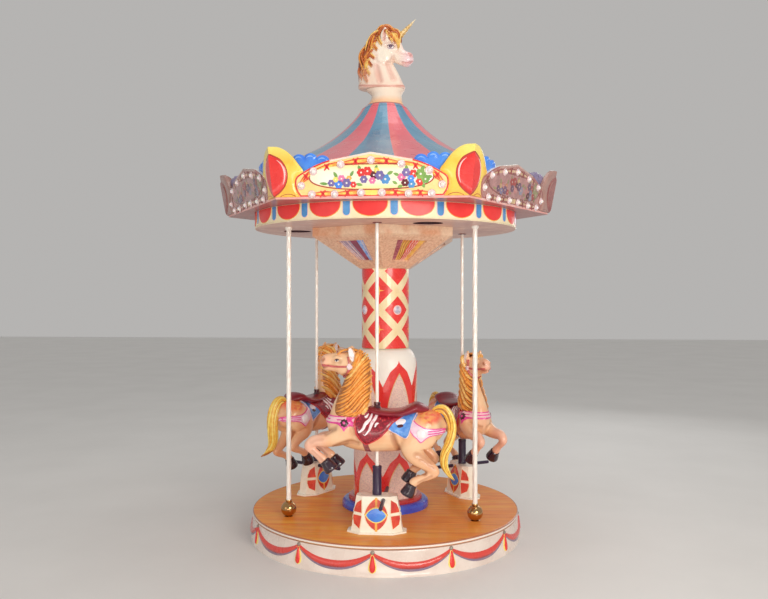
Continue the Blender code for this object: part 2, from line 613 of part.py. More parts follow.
BUST_MANE = [((0.062, 0, 2.860), 0.026, 0.026), ((0.020, 0, 2.888), 0.034, 0.032), ((-0.040, 0, 2.876), 0.034, 0.032),
             ((-0.076, 0, 2.826), 0.032, 0.030), ((-0.112, 0, 2.766), 0.036, 0.039), ((-0.126, 0, 2.700), 0.035, 0.037),
             ((-0.130, 0, 2.640), 0.034, 0.036), ((-0.126, 0, 2.585), 0.034, 0.032)]
HORN_FOOT = Vector((0.084, 0, 2.848))
HORN_TIP = Vector((0.175, 0, 2.943))
HORN_RADIUS = 0.017


def make_bust():
    mesh = fused("unicorn_bust", [BUST, BUST_HEAD, BUST_EAR, other_side(BUST_EAR, Vector((0, 0, 0)), 1), BUST_MANE],
                 0.010, 3, 1300)
    bust = add_object("unicorn_bust", mesh, BUST_PAINT)
    floor = add_object("bust floor", mesh_from_bmesh("bust floor", board(
        [(-0.3, -0.3), (0.3, -0.3), (0.3, 0.3), (-0.3, 0.3)], BUST_FOOT, BUST_FOOT - 0.2)), None, CUTTERS)
    floor.hide_render = True
    floor.display_type = "WIRE"
    cut(bust, floor)
    way = (HORN_TIP - HORN_FOOT).normalized()
    aim = way.to_track_quat("Z", "Y").to_matrix().to_4x4()
    bm = bmesh.new()
    bmesh.ops.create_cone(bm, cap_ends=True, segments=14, radius1=HORN_RADIUS, radius2=0.0015,
                          depth=(HORN_TIP - HORN_FOOT).length)
    horn = add_object("unicorn_horn", mesh_from_bmesh("unicorn_horn", bm), BRASS)
    horn.matrix_world = Matrix.Translation((HORN_FOOT + HORN_TIP) / 2) @ aim
    socket = bmesh.new()
    bmesh.ops.create_cone(socket, cap_ends=True, segments=14, radius1=HORN_RADIUS + 0.0008, radius2=0.0023,
                          depth=(HORN_TIP - HORN_FOOT).length)
    socket_cutter = add_object("horn socket", mesh_from_bmesh("horn socket", socket), None, CUTTERS)
    socket_cutter.matrix_world = Matrix.Translation((HORN_FOOT + HORN_TIP) / 2 - way * SEAT) @ aim
    socket_cutter.hide_render = True
    socket_cutter.display_type = "WIRE"
    cut(bust, socket_cutter)


make_base()
make_deck()
make_column()
make_capital()
make_canopy_plates()
make_crown()
make_roof()
for rider in range(RIDERS):
    make_pedestal(rider)
    make_poles(rider)
make_horses()
make_bust()
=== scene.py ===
# %% [markdown]
# A children's fairground carousel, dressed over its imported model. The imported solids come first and
# give every size. Each later step takes one thing that a maker would make by itself, such as the
# skirt, a rounding board or a horse, and builds its shape and its finish.
# The real machine is glass-fibre: mouldings sprayed with glossy gelcoat, and ornament in low relief
# that is picked out by hand. So most pieces here are low reliefs on a solid that is already there.

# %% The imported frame
import random
from math import atan2, ceil, cos, degrees, dist, hypot, pi, radians, sin, sqrt, tan

import bmesh
import bpy
import numpy as np
from mathutils import Matrix, Vector, geometry
from mathutils.bvhtree import BVHTree


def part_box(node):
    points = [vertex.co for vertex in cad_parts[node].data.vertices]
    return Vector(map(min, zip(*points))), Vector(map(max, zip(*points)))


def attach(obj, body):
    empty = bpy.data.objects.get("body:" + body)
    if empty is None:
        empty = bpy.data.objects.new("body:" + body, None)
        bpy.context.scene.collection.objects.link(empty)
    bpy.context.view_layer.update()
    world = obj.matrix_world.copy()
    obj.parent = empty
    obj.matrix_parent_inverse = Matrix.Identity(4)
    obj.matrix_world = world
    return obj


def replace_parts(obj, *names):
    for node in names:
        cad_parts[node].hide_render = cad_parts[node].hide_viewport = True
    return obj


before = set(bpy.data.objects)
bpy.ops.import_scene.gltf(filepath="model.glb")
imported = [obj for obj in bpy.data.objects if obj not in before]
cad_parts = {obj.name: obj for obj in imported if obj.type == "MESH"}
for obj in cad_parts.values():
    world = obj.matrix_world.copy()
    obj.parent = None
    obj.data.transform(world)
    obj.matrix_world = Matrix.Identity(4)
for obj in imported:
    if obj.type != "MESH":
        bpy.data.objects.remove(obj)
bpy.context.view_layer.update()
# Painted signs look right under the plain display transform, which keeps their reds and blues pure
bpy.context.scene.view_settings.view_transform = "Standard"

# %% [markdown]
# The camera stands where the photographer did: 4.4 m from the axis, a little to the right of the
# front horse, at the height of a hand. It looks level, so the column stays upright in the picture
# and the ring of the deck shows as an ellipse. A small shift frames the machine as the photo does.

# %% Camera
PICTURE_WIDTH = 768
SHIFT_PIXELS = (-1.4, -3.55)
CAMERA_DISTANCE = 4.443
CAMERA_HEIGHT = 1.3496
CAMERA_YAW = radians(4.7251)
camera_data = bpy.data.cameras.new("camera")
camera_data.sensor_width = 36.0
camera_data.lens = 36.04
camera_data.shift_x, camera_data.shift_y = (shift / PICTURE_WIDTH for shift in SHIFT_PIXELS)
camera = bpy.data.objects.new("camera", camera_data)
bpy.context.scene.collection.objects.link(camera)
camera.location = (CAMERA_DISTANCE * sin(CAMERA_YAW), -CAMERA_DISTANCE * cos(CAMERA_YAW), CAMERA_HEIGHT)
camera.rotation_euler = (radians(90), 0, CAMERA_YAW)
bpy.context.scene.camera = camera
print("camera at", [round(v, 3) for v in camera.location])

# %% [markdown]
# Glossy paint shows its shape by what it reflects, so the studio has a few large soft panels rather
# than small lamps. The key panel is in front and to the right, and a weaker one fills the left. A
# long low one lights the horses and the soffit, one hangs above for the roof, and one stands behind
# so that the far side isn't black. The world gives the pale, even rest. The floor is one big pale
# sheet and is no part of the machine.

# %% Lights and world
def panel(name, place, aim, size, watts, colour=(1.0, 1.0, 1.0)):
    lamp = bpy.data.lights.new(name, "AREA")
    lamp.shape = "RECTANGLE"
    lamp.size, lamp.size_y = size
    lamp.energy = watts
    lamp.color = colour
    obj = bpy.data.objects.new(name, lamp)
    bpy.context.scene.collection.objects.link(obj)
    obj.location = place
    obj.rotation_euler = (Vector(aim) - Vector(place)).to_track_quat("-Z", "Y").to_euler()
    return obj


panel("key panel", (2.6, -5.0, 2.2), (0, 0, 1.3), (2.4, 2.0), 135, (1.0, 0.95, 0.88))
panel("fill panel", (-3.4, -4.4, 1.5), (0, 0, 1.2), (2.4, 2.4), 22, (1.0, 0.94, 0.9))
panel("low panel", (0.2, -4.9, 0.5), (0, 0, 1.6), (3.2, 0.8), 27, (1.0, 0.92, 0.84))
panel("top panel", (0.9, -0.6, 5.6), (0, 0, 1.5), (3.0, 3.0), 46, (1.0, 0.97, 0.93))
panel("back panel", (2.2, 4.4, 2.6), (0, 0, 1.4), (2.4, 2.0), 24)
world = bpy.data.worlds.new("studio")
world.use_nodes = True
world.node_tree.nodes["Background"].inputs["Color"].default_value = (0.93, 0.91, 0.89, 1.0)
world.node_tree.nodes["Background"].inputs["Strength"].default_value = 0.5
bpy.context.scene.world = world

# %% [markdown]
# A finish is a small graph of nodes. Real gelcoat is never one flat colour: the spray lies thicker in
# one place than in another, the gloss varies, and a faint orange-peel bump breaks the reflections.
# `Graph` keeps the wiring short, and `finish` makes the usual case from two close shades. A shade is
# written as red, green and blue in per cent.

# %% Node helpers
class Graph:
    """A material's node tree, with short calls that return the socket they made."""

    def __init__(self, name):
        self.material = bpy.data.materials.new(name)
        self.material.use_nodes = True
        self.tree = self.material.node_tree
        self.shader = self.tree.nodes["Principled BSDF"]
        self.place = self.tree.nodes.new("ShaderNodeTexCoord").outputs["Object"]

    def put(self, socket, value):
        if isinstance(value, bpy.types.NodeSocket):
            self.tree.links.new(value, socket)
        else:
            socket.default_value = value

    def node(self, kind, output, **inputs):
        made = self.tree.nodes.new("ShaderNode" + kind)
        for key, value in inputs.items():
            self.put(made.inputs[key], value)
        return made.outputs[output]

    def calc(self, operation, a, b=0.0):
        made = self.tree.nodes.new("ShaderNodeMath")
        made.operation = operation
        self.put(made.inputs[0], a)
        self.put(made.inputs[1], b)
        return made.outputs[0]

    def far(self, a, b):
        """How far the point (a, b) is from zero."""
        return self.calc("SQRT", self.calc("ADD", self.calc("MULTIPLY", a, a), self.calc("MULTIPLY", b, b)))

    def ramp(self, value, low, high, to_low=0.0, to_high=1.0):
        made = self.tree.nodes.new("ShaderNodeMapRange")
        for key, number in (
                ("Value", value), ("From Min", low), ("From Max", high), ("To Min", to_low), ("To Max", to_high)):
            self.put(made.inputs[key], number)
        return made.outputs["Result"]

    def mix(self, share, a, b):
        """Mixes two colours, each a socket or red, green and blue in per cent."""
        made = self.tree.nodes.new("ShaderNodeMix")
        made.data_type = "RGBA"
        self.put(made.inputs["Factor"], share)
        for key, colour in (("A", a), ("B", b)):
            self.put(made.inputs[key], (*(v / 100 for v in colour), 1.0) if isinstance(colour, tuple) else colour)
        return made.outputs["Result"]

    def stretched(self, factors):
        return self.node("Mapping", "Vector", Vector=self.place, Scale=factors)

    def noise(self, scale, detail=3.0, where=None):
        return self.node("TexNoise", "Fac", Vector=where or self.place, Scale=scale, Detail=detail)

    def xyz(self):
        made = self.tree.nodes.new("ShaderNodeSeparateXYZ")
        self.put(made.inputs[0], self.place)
        return made.outputs["X"], made.outputs["Y"], made.outputs["Z"]

    def height(self):
        return self.xyz()[2]

    def carved(self):
        """The shade that `carve` stored on a mesh."""
        made = self.tree.nodes.new("ShaderNodeAttribute")
        made.attribute_name = "shade"
        return made.outputs["Fac"]

    def mottle(self, scale, light, dark, low=0.3, high=0.7, detail=3.0):
        """Two shades that lie beside each other in soft patches."""
        return self.mix(self.ramp(self.noise(scale, detail), low, high), light, dark)

    def tint(self, under, over, value, low, high, most=1.0):
        """Lays one colour over another, more and more as the value goes from low to high."""
        return self.mix(self.ramp(value, low, high, 0.0, most), under, over)

    def coat(self, colour, roughness=0.28, gloss=0.5, bump=0.04, grain=160.0, metallic=0.0, uneven=0.1, height=None):
        """Wires the colour to the shader and adds uneven roughness, a clear coat and a fine bump."""
        self.put(self.shader.inputs["Base Color"], colour)
        self.put(self.shader.inputs["Roughness"], self.ramp(
            self.noise(18), 0.3, 0.7, max(0.02, roughness - uneven / 2), roughness + uneven / 2))
        self.shader.inputs["Metallic"].default_value = metallic
        self.shader.inputs["Coat Weight"].default_value = gloss
        self.shader.inputs["Coat Roughness"].default_value = 0.06
        rise = height if height is not None else self.noise(grain, 2.0)
        self.put(self.shader.inputs["Normal"], self.node("Bump", "Normal", Strength=bump, Distance=0.01, Height=rise))
        return self.material


def finish(name, light, dark, scale=14, **more):
    graph = Graph(name)
    return graph.coat(graph.mottle(scale, light, dark, 0.32, 0.68, 4.0), **more)


# %% [markdown]
# These are the sprayed colours, and the colours picked out by hand, that many pieces share. The two
# shades of each stay close together, so that a large face looks sprayed and not dirty.

# %% Shared finishes
WHITE = finish("white gelcoat", (96, 92, 86), (90, 83, 74))
CREAM = finish("cream gelcoat", (97, 87, 62), (93, 78, 50))
RED = finish("red gelcoat", (88, 4.5, 3.5), (76, 2.8, 2.8), gloss=0.35)
DARK_RED = finish("dark red line", (36, 2, 1.5), (50, 5, 2))
ORANGE = finish("orange yellow paint", (98, 55, 10), (90, 36, 5), scale=40)
YELLOW = finish("yellow gelcoat", (98, 68, 9), (94, 48, 3), scale=8)
LEMON = finish("lemon paint", (98, 86, 20), (95, 72, 12))
SKY = finish("sky blue paint", (10, 35, 72), (5, 24, 60))
BRIGHT_BLUE = finish("bright blue gelcoat", (8, 32, 94), (5, 21, 82))
PINK = finish("pink paint", (95, 28, 50), (85, 14, 36))
PALE_PINK = finish("pale pink paint", (95, 66, 62), (90, 52, 50))
MAROON = finish("maroon paint", (20, 0.8, 1.8), (10, 0.4, 1.2))
GREEN = finish("leaf green paint", (30, 50, 10), (14, 34, 8))
VIOLET = finish("violet paint", (28, 20, 48), (16, 12, 36))
BLACK = finish("purple black rubber", (3.4, 1, 5), (2.2, 0.8, 3.4), roughness=0.42, gloss=0.15)
print("shared finishes", len(bpy.data.materials))

# %% Floor
graph = Graph("pale floor")
graph.coat(graph.mottle(1.5, (80, 79, 77), (76, 75, 73)), roughness=0.65, gloss=0.0, bump=0.02)
bpy.ops.mesh.primitive_grid_add(x_subdivisions=4, y_subdivisions=4, size=40.0, location=(0, 0, 0))
floor = bpy.context.object
floor.name = "floor"
floor.data.materials.append(graph.material)

# %% [markdown]
# Most pieces are gathered from parts: a lathe-turned part, a tube along a path, or a slab with an
# outline. `Shape` collects the points and faces of all of them and makes one mesh, which rides on a
# body of the machine. That keeps one maker's job, such as all twelve swags, in one piece.

# %% Gathering shapes
class Shape:
    """Points and faces, gathered from several parts and then made into one piece."""

    def __init__(self):
        self.points = []
        self.faces = []
        self.slots = []

    def add(self, part, place=None, slot=0):
        points, faces = part
        start = len(self.points)
        self.points += [place @ Vector(p) if place else Vector(p) for p in points]
        self.faces += [tuple(start + i for i in face) for face in faces]
        self.slots += [slot] * len(faces)
        return self

    def mesh(self, name, smooth=35.0):
        mesh = bpy.data.meshes.new(name)
        mesh.from_pydata(self.points, [], self.faces)
        mesh.polygons.foreach_set("material_index", self.slots)
        work = bmesh.new()
        work.from_mesh(mesh)
        bmesh.ops.recalc_face_normals(work, faces=work.faces)
        work.to_mesh(mesh)
        work.free()
        mesh.shade_smooth()
        mesh.set_sharp_from_angle(angle=radians(smooth))
        return mesh

    def piece(self, name, paints, body="rotor", smooth=35.0):
        return piece(name, self.mesh(name, smooth), paints, body)


def piece(name, mesh, paints, body="rotor", place=None):
    obj = bpy.data.objects.new(name, mesh)
    bpy.context.scene.collection.objects.link(obj)
    if not mesh.materials:
        for paint in paints if isinstance(paints, (list, tuple)) else [paints]:
            mesh.materials.append(paint)
    if place:
        obj.matrix_world = place
    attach(obj, body)
    return obj


def ring(radius, azimuth, z=0.0):
    """A point round the axis. Azimuth 0 is the front (-Y) and 90 is +X."""
    a = radians(azimuth)
    return Vector((radius * sin(a), -radius * cos(a), z))


def spun(azimuth):
    return Matrix.Rotation(radians(azimuth), 4, "Z")


def lathe(profile, segments=48):
    """A turned part from (radius, height) points. Points on the axis become single points."""
    points, rings = [], []
    for r, z in profile:
        if r <= 1e-9:
            rings.append([len(points)])
            points.append((0, 0, z))
        else:
            rings.append(list(range(len(points), len(points) + segments)))
            points += [(r * cos(2 * pi * k / segments), r * sin(2 * pi * k / segments), z) for k in range(segments)]
    faces = []
    for one, two in zip(rings, rings[1:]):
        for k in range(segments):
            j = (k + 1) % segments
            corners = [one[k % len(one)], one[j % len(one)], two[j % len(two)], two[k % len(two)]]
            face = list(dict.fromkeys(corners))
            if len(face) > 2:
                faces.append(tuple(face))
    return points, faces


LEFT = Vector((0, 1, 0))


def heading(line, i):
    """The direction of a line at its i-th point."""
    return (Vector(line[min(i + 1, len(line) - 1)][:3]) - Vector(line[max(i - 1, 0)][:3])).normalized()


def quads(count, sides):
    """The faces between rows of points, each row a ring."""
    return [(i * sides + k, i * sides + (k + 1) % sides, (i + 1) * sides + (k + 1) % sides, (i + 1) * sides + k)
            for i in range(count // sides - 1) for k in range(sides)]


def closed(points, sides):
    """Rows of points with their faces and a face over each end."""
    return points, quads(len(points), sides) + [tuple(range(sides)), tuple(range(len(points) - sides, len(points)))]


def tube(path, radii, sides=10, flat=1.0):
    """A round or flattened tube along a path, closed at both ends."""
    path = [Vector(p) for p in path]
    side = LEFT
    points = []
    for i, centre in enumerate(path):
        way = heading(path, i)
        turned = side - way * side.dot(way)
        side = turned.normalized() if turned.length > 1e-5 else way.orthogonal().normalized()
        up = way.cross(side)
        for k in range(sides):
            a = 2 * pi * k / sides
            points.append(centre + side * radii[i] * cos(a) + up * radii[i] * flat * sin(a))
    return closed(points, sides)


# %% [markdown]
# Painted ornament is a slab: a flat outline, filled with triangles that are small enough to follow
# the surface below, and lifted a hair over it. `place` says where an outline's point (u, v) at a
# height over the surface lies in space, so the same slab can lie on a board, a cylinder or a horse.
# With `puff` the slab swells towards its middle like a moulded leaf.

# %% Slabs that follow a surface
def split_outline(outline, step):
    points = []
    for i, a in enumerate(outline):
        b = outline[(i + 1) % len(outline)]
        length = dist(a, b)
        count = max(1, int(ceil(length / step)))
        points += [(a[0] + (b[0] - a[0]) * k / count, a[1] + (b[1] - a[1]) * k / count) for k in range(count)]
    return points


def to_segment(point, a, b):
    """How far a point is from the straight piece between a and b."""
    dx, dy = b[0] - a[0], b[1] - a[1]
    square = dx * dx + dy * dy
    t = 0.0 if square == 0 else max(0.0, min(1.0, ((point[0] - a[0]) * dx + (point[1] - a[1]) * dy) / square))
    return hypot(point[0] - a[0] - dx * t, point[1] - a[1] - dy * t)


def to_edge(point, outline):
    """How far a point is from the outline, and whether it is inside."""
    best, inside = 1e9, False
    x, y = point
    for i, a in enumerate(outline):
        b = outline[(i + 1) % len(outline)]
        best = min(best, to_segment(point, a, b))
        if (a[1] > y) != (b[1] > y) and x < a[0] + (b[0] - a[0]) * (y - a[1]) / (b[1] - a[1]):
            inside = not inside
    return best, inside


def slab(outline, place, lift=0.0008, sink=0.0006, step=0.02, puff=0.0, roll=0.02, rim=None):
    edge = split_outline(outline, step)
    xs, ys = [p[0] for p in edge], [p[1] for p in edge]
    inner = []
    rows = int((max(ys) - min(ys)) / step) + 1
    columns = int((max(xs) - min(xs)) / step) + 1
    for j in range(1, rows + 1):
        for i in range(0, columns + 1):
            p = (min(xs) + (i + 0.5 * (j % 2)) * step, min(ys) + j * step * 0.9)
            far, inside = to_edge(p, edge)
            if inside and far > 0.35 * step:
                inner.append((p, far))
    flat = [Vector(p) for p in edge] + [Vector(p) for p, _ in inner]
    count = len(edge)
    result = geometry.delaunay_2d_cdt(flat, [], [list(range(count))], 1, 1e-7)
    corners, triangles = result[0], result[2]
    depths = [0.0] * len(corners)
    if rim:
        depths = [min(to_segment(c, a, b) for a, b in zip(rim, rim[1:])) for c in corners]
    elif puff:
        depths = [to_edge(c, edge)[0] if i >= count else 0.0 for i, c in enumerate(corners)]
    points, faces = [], []
    for c, depth in zip(corners, depths):
        share = 1 - min(depth / roll, 1.0)
        points.append(place(c[0], c[1], lift + puff * sqrt(max(0.0, 1 - share * share))))
    under = len(points)
    points += [place(c[0], c[1], -sink) for c in corners]
    faces += [tuple(f) for f in triangles]
    faces += [tuple(under + i for i in reversed(f)) for f in triangles]
    used = dict.fromkeys(side for f in triangles for side in zip(f, list(f[1:]) + [f[0]]))
    faces += [(a, b, under + b, under + a) for a, b in used if (b, a) not in used]
    return points, faces


def on_cylinder(radius, azimuth):
    """u runs round the cylinder in metres from the azimuth, v is the height."""
    return lambda u, v, h: ring(radius + h, azimuth + degrees(u / radius), v)


def on_plane(matrix):
    return lambda u, v, h: matrix @ Vector((u, v, h))


def ellipse(x, y, wide, high, steps=24, start=0.0, end=360.0, tilt=0.0):
    c, s = cos(radians(tilt)), sin(radians(tilt))
    points = []
    for k in range(steps + (1 if end - start < 359.9 else 0)):
        a = radians(start + (end - start) * k / steps)
        px, py = wide * cos(a), high * sin(a)
        points.append((x + px * c - py * s, y + px * s + py * c))
    return points


def curved(points, steps=6, closed=False):
    """A smooth line through the points."""
    out = []
    count = len(points)
    spans = count if closed else count - 1
    for i in range(spans):
        p = [Vector(points[(i + k - 1) % count] if closed else points[min(max(i + k - 1, 0), count - 1)])
             for k in range(4)]
        for k in range(steps):
            t = k / steps
            out.append(tuple(0.5 * (2 * p[1] + (p[2] - p[0]) * t + (2 * p[0] - 5 * p[1] + 4 * p[2] - p[3]) * t * t
                                    + (3 * p[1] - p[0] - 3 * p[2] + p[3]) * t ** 3)))
    if not closed:
        out.append(tuple(points[-1]))
    return out


def shares(count):
    """Even steps from 0 to 1."""
    return [k / count for k in range(count + 1)]


def arc(x, y, wide, high, angles):
    """Points on an ellipse at these angles in degrees."""
    return [(x + wide * cos(radians(a)), y + high * sin(radians(a))) for a in angles]


def ribbon(line, width):
    """The outline of a band of one width, or of a width for each point, along a line."""
    widths = width if hasattr(width, "__len__") else [width] * len(line)
    left, right = [], []
    for i, p in enumerate(line):
        way = heading(line, i)
        off = Vector((-way[1], way[0])) * widths[i] / 2
        left.append((p[0] + off[0], p[1] + off[1]))
        right.append((p[0] - off[0], p[1] - off[1]))
    return left + right[::-1]


def swelling(line, thin, more):
    """A band that is broadest at the middle of its line."""
    return ribbon(line, [thin + more * sin(pi * i / (len(line) - 1)) for i in range(len(line))])


def band(points, width):
    """A band along a smooth line through the points."""
    return ribbon(curved(points, 4), width)


def tapered(line, wide):
    """A stroke that is broad in its middle and ends in points."""
    smooth = curved(line, 5)
    return ribbon(
        smooth, [0.0015 + wide * sin(pi * min(1.0, 0.12 + i / (len(smooth) - 1))) ** 0.7 for i in range(len(smooth))])


# %% [markdown]
# The CAD numbers that several pieces need are repeated here by name. They are the sizes of the
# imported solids, and every ornament is placed from them. Longer tables are in millimetres.

# %% Sizes of the frame
FASCIA_RADIUS = 0.742
TRAY_TOP = 1.8218
CROWN_APOTHEM = 0.8005
CROWN_LEAN = atan2(0.0378, 0.231)
HORSE_RING = 0.515
CANOPY_POLE_RING = 0.583
SIDES = 6
RIDERS = 3
HORSE_BODIES = ("front_horse", "right_horse", "left_horse")


def dress(paint, *names):
    for name in names:
        obj = bpy.data.objects[name]
        for slot in obj.material_slots:
            slot.material = paint


def mm(rows):
    """A table of millimetres, in metres."""
    return [tuple(v / 1000 for v in row) for row in rows]


def numbered(stem, count):
    return [f"{stem}_{k + 1}" for k in range(count)]


# %% [markdown]
# The skirt is one white moulding. Red swags hang on it in low relief between twelve tassels. The red
# of each swag darkens towards its lower edge, and below it lies a thinner crescent in blue-grey: both
# are painted shade under the relief. The relief is a crescent slab that swells. A tassel is a
# grey-brown knob and a red drop with a yellow edge. The skirt itself is turned again here with the
# rolled top bead and the small foot that a moulding has.

# %% Skirt
SKIRT_TOP, SKIRT_FOOT_RADIUS, SKIRT_HEAD_RADIUS, SKIRT_MEAN_RADIUS = 0.127, 0.766, 0.752, 0.76
SKIRT_SLOPE = (SKIRT_FOOT_RADIUS - SKIRT_HEAD_RADIUS) / SKIRT_TOP
TASSELS = 12


def on_skirt(azimuth):
    return lambda u, v, h: ring(SKIRT_FOOT_RADIUS - v * SKIRT_SLOPE + h, azimuth + degrees(u / SKIRT_MEAN_RADIUS), v)


skirt = Shape().add(lathe(mm([(0, 126.8), (746, 126.8), (751.5, 125.2), (753.5, 121), (752.8, 118), (764.5, 12),
                              (766.2, 9), (766.2, 0), (0, 0)]), 120))
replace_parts(skirt.piece("skirt", finish("skirt white", (87, 76, 68), (76, 62, 54), scale=7), "base"), "base_skirt")

graph = Graph("shaded swag red")
z = graph.height()
# The swag red is painted darker towards the swag's lower edge: painted shade under the relief
shaded_swag_red = graph.coat(graph.tint((26, 3.5, 4.5), (72, 6, 4.5), z, 0.036, 0.052))
SHADE = finish("blue grey shade", (22, 17, 28), (30, 20, 26))
KNOB = finish("grey brown knob", (34, 28, 22), (22, 17, 14))
half_swag = radians(360 / TASSELS / 2) * SKIRT_MEAN_RADIUS
swags, shades, knobs, drops, drop_edges = Shape(), Shape(), Shape(), Shape(), Shape()


def sag(u, ends, middle):
    return middle + (ends - middle) * abs(u / half_swag) ** 2.2


across = [(-1 + 2 * t) * half_swag * 0.985 for t in shares(16)]
crescent = [(u, sag(u, 0.118, 0.07)) for u in across] + [(u, sag(u, 0.104, 0.036)) for u in reversed(across)]
shade_edge = [(u, sag(u, 0.108, 0.04)) for u in across] + [(u, sag(u, 0.099, 0.026)) for u in reversed(across)]
drop = [(0.0, 0.106), (0.006, 0.098), (0.009, 0.08), (0.0145, 0.052), (0.0135, 0.036), (0.007, 0.026), (0.0, 0.023)]
drop = curved(drop, 4)
for k in range(TASSELS):
    middle = on_skirt(360 / TASSELS * (k + 0.5))
    swags.add(slab(crescent, middle, lift=0.0012, puff=0.0075, roll=0.016, step=0.009))
    shades.add(slab(shade_edge, middle, lift=0.0009, puff=0.002, roll=0.008, step=0.01))
    at = on_skirt(360 / TASSELS * k)
    whole = drop + [(-u, v) for u, v in reversed(drop[1:-1])]
    drop_edges.add(slab(
        [(u * 1.35, 0.064 + (v - 0.064) * 1.07) for u, v in whole], at, lift=0.002, puff=0.003, roll=0.01, step=0.008))
    drops.add(slab(whole, at, lift=0.004, puff=0.006, roll=0.012, step=0.006))
    knobs.add(slab(ellipse(0, 0.1165, 0.0105, 0.0095, 16), at, lift=0.003, puff=0.006, roll=0.01, step=0.005))
swags.piece("swags", shaded_swag_red, "base")
shades.piece("swag_shade", SHADE, "base")
knobs.piece("tassel_knobs", KNOB, "base")
drops.piece("tassel_drops", RED, "base")
drop_edges.piece("tassel_edges", LEMON, "base")
print("skirt done", len(swags.faces))

# %% [markdown]
# The deck is a round board of varnished wood with its grain from side to side. The grain is noise
# stretched along X, with darker streaks on top. Round its edge runs a white bead with a brown line.

# %% Deck
graph = Graph("varnished deck wood")
along = graph.stretched((1.1, 16.0, 1.0))
fine = graph.stretched((3.0, 120.0, 1.0))
streak = graph.noise(2.2, 5.0, along)
thin = graph.noise(2, 3.0, fine)
patch = graph.noise(2, 2.0)
base = graph.tint((90, 23.5, 3.4), (100, 53, 8.5), streak, 0.3, 0.72)
base = graph.tint(base, (70, 19, 4), patch, 0.35, 0.7, 0.5)
base = graph.tint(base, (34, 9, 1.5), thin, 0.5, 0.72, 0.45)
graph.shader.inputs["Specular IOR Level"].default_value = 0.25
dress(graph.coat(base, roughness=0.48, gloss=0.12, bump=0.03, height=thin), "deck")
graph = Graph("deck rim")
z = graph.height()
DECK_RIM = graph.coat(graph.tint(graph.mix(graph.noise(9), (92, 85, 78), (84, 74, 66)), (42, 13, 5), z, 0.1425, 0.144))
trim = Shape().add(lathe(mm([(750, 149.8), (753.2, 148.5), (754.5, 140), (754, 134.5), (750, 133), (750, 149.8)]), 120))
trim.piece("deck_trim", DECK_RIM)
dress(finish("bearing steel", (40, 40, 41), (30, 30, 31), metallic=1.0, roughness=0.4, gloss=0.0), "turntable_bearing")

# %% [markdown]
# Round the column's foot lie a blue ring and a dark red one. Both are rolled mouldings, so they are
# turned again here with round edges in place of the CAD's chamfers.

# %% Column foot
def rolled(outer, low, high, radius):
    curve = arc(outer - radius, high - radius, radius, radius, range(90, -1, -10))
    return [(0, high)] + curve + [(outer, low), (0, low)]


plinth = Shape().add(lathe(rolled(0.2475, 0.1503, 0.193, 0.024), 96))
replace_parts(plinth.piece("blue_ring", finish("ring blue", (5, 13, 70), (4.5, 6, 48))), "column_plinth")
collar = Shape().add(lathe(rolled(0.2115, 0.1933, 0.2138, 0.013), 96))
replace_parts(collar.piece("red_ring", finish("collar red", (55, 3, 3), (40, 2, 3))), "column_collar")

# %% [markdown]
# The lower column is a white drum with six red gothic arches in two tiers. Inside an arch and
# behind the lower tier the paint is speckled pink and grey. Each arch is a red slab, and on it lies
# the speckled opening in a tan border. The drum itself is turned, as its upper end has a big round
# shoulder, and the slabs follow that shoulder.

# %% Drum
graph = Graph("speckled pink paint")
grain = graph.noise(130, 2.0)
cells = graph.noise(60, 3.0)
colour = graph.tint((92, 66, 56), (74, 52, 48), grain, 0.42, 0.62)
SPECKLE = graph.coat(graph.tint(colour, (92, 76, 62), cells, 0.55, 0.68, 0.6))
graph = Graph("drum white")
z = graph.height()
clean = graph.mottle(9, (98, 95, 88), (95, 90, 80))
rough_pink = graph.mottle(110, (92, 68, 60), (76, 54, 50), 0.42, 0.62, 2.0)
DRUM_WHITE = graph.coat(graph.tint(rough_pink, clean, z, 0.6, 0.62), roughness=0.42, gloss=0.15)
DRUM_RADIUS = 0.181
DRUM_EDGE = mm(
    [(214.5, 181), (925, 181), (955, 180), (984, 175.8), (1013, 166), (1035.5, 152), (1046.5, 138), (1052.5, 116)])
TAN = finish("tan line", (85, 52, 22), (74, 40, 16))
ARCH_HALF = radians(30) * DRUM_RADIUS
arches, borders, openings = Shape(), Shape(), Shape()
drum = Shape().add(lathe([(0, 0.2145)] + [(r, z) for z, r in DRUM_EDGE] + [(0, 1.0525)], 96))
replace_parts(drum.piece("drum", DRUM_WHITE), "column_drum")


def on_drum(azimuth):
    """Like on_cylinder, but it follows the drum's round shoulder."""
    def place(u, v, h):
        edge = next(((a, b) for a, b in zip(DRUM_EDGE, DRUM_EDGE[1:]) if v <= b[0]), DRUM_EDGE[-2:])
        share = (v - edge[0][0]) / (edge[1][0] - edge[0][0])
        return ring(edge[0][1] + (edge[1][1] - edge[0][1]) * share + h, azimuth + degrees(u / DRUM_RADIUS), v)
    return place


ARCH_SHOULDER = ((0.0, 1.0), (0.05, 0.9), (0.16, 0.8), (0.3, 0.72), (0.44, 0.64), (0.565, 0.56), (0.74, 0.34),
                 (0.88, 0.15), (1.0, 0.0))


def arch(low, apex, valley):
    """A gothic arch: a sharp tip, round shoulders, then straight sides down to its foot."""
    right = [(ARCH_HALF * share, valley + (apex - valley) * high) for share, high in ARCH_SHOULDER]
    right.append((ARCH_HALF, low))
    return [(-x, z) for x, z in reversed(right[1:])] + right


def opening(low, apex, half):
    side = [(half * (1 - (1 - t) ** 2.8), apex + (low - apex) * t) for t in [s ** 1.5 for s in shares(9)]]
    return side + [(-x, z) for x, z in reversed(side[1:])]


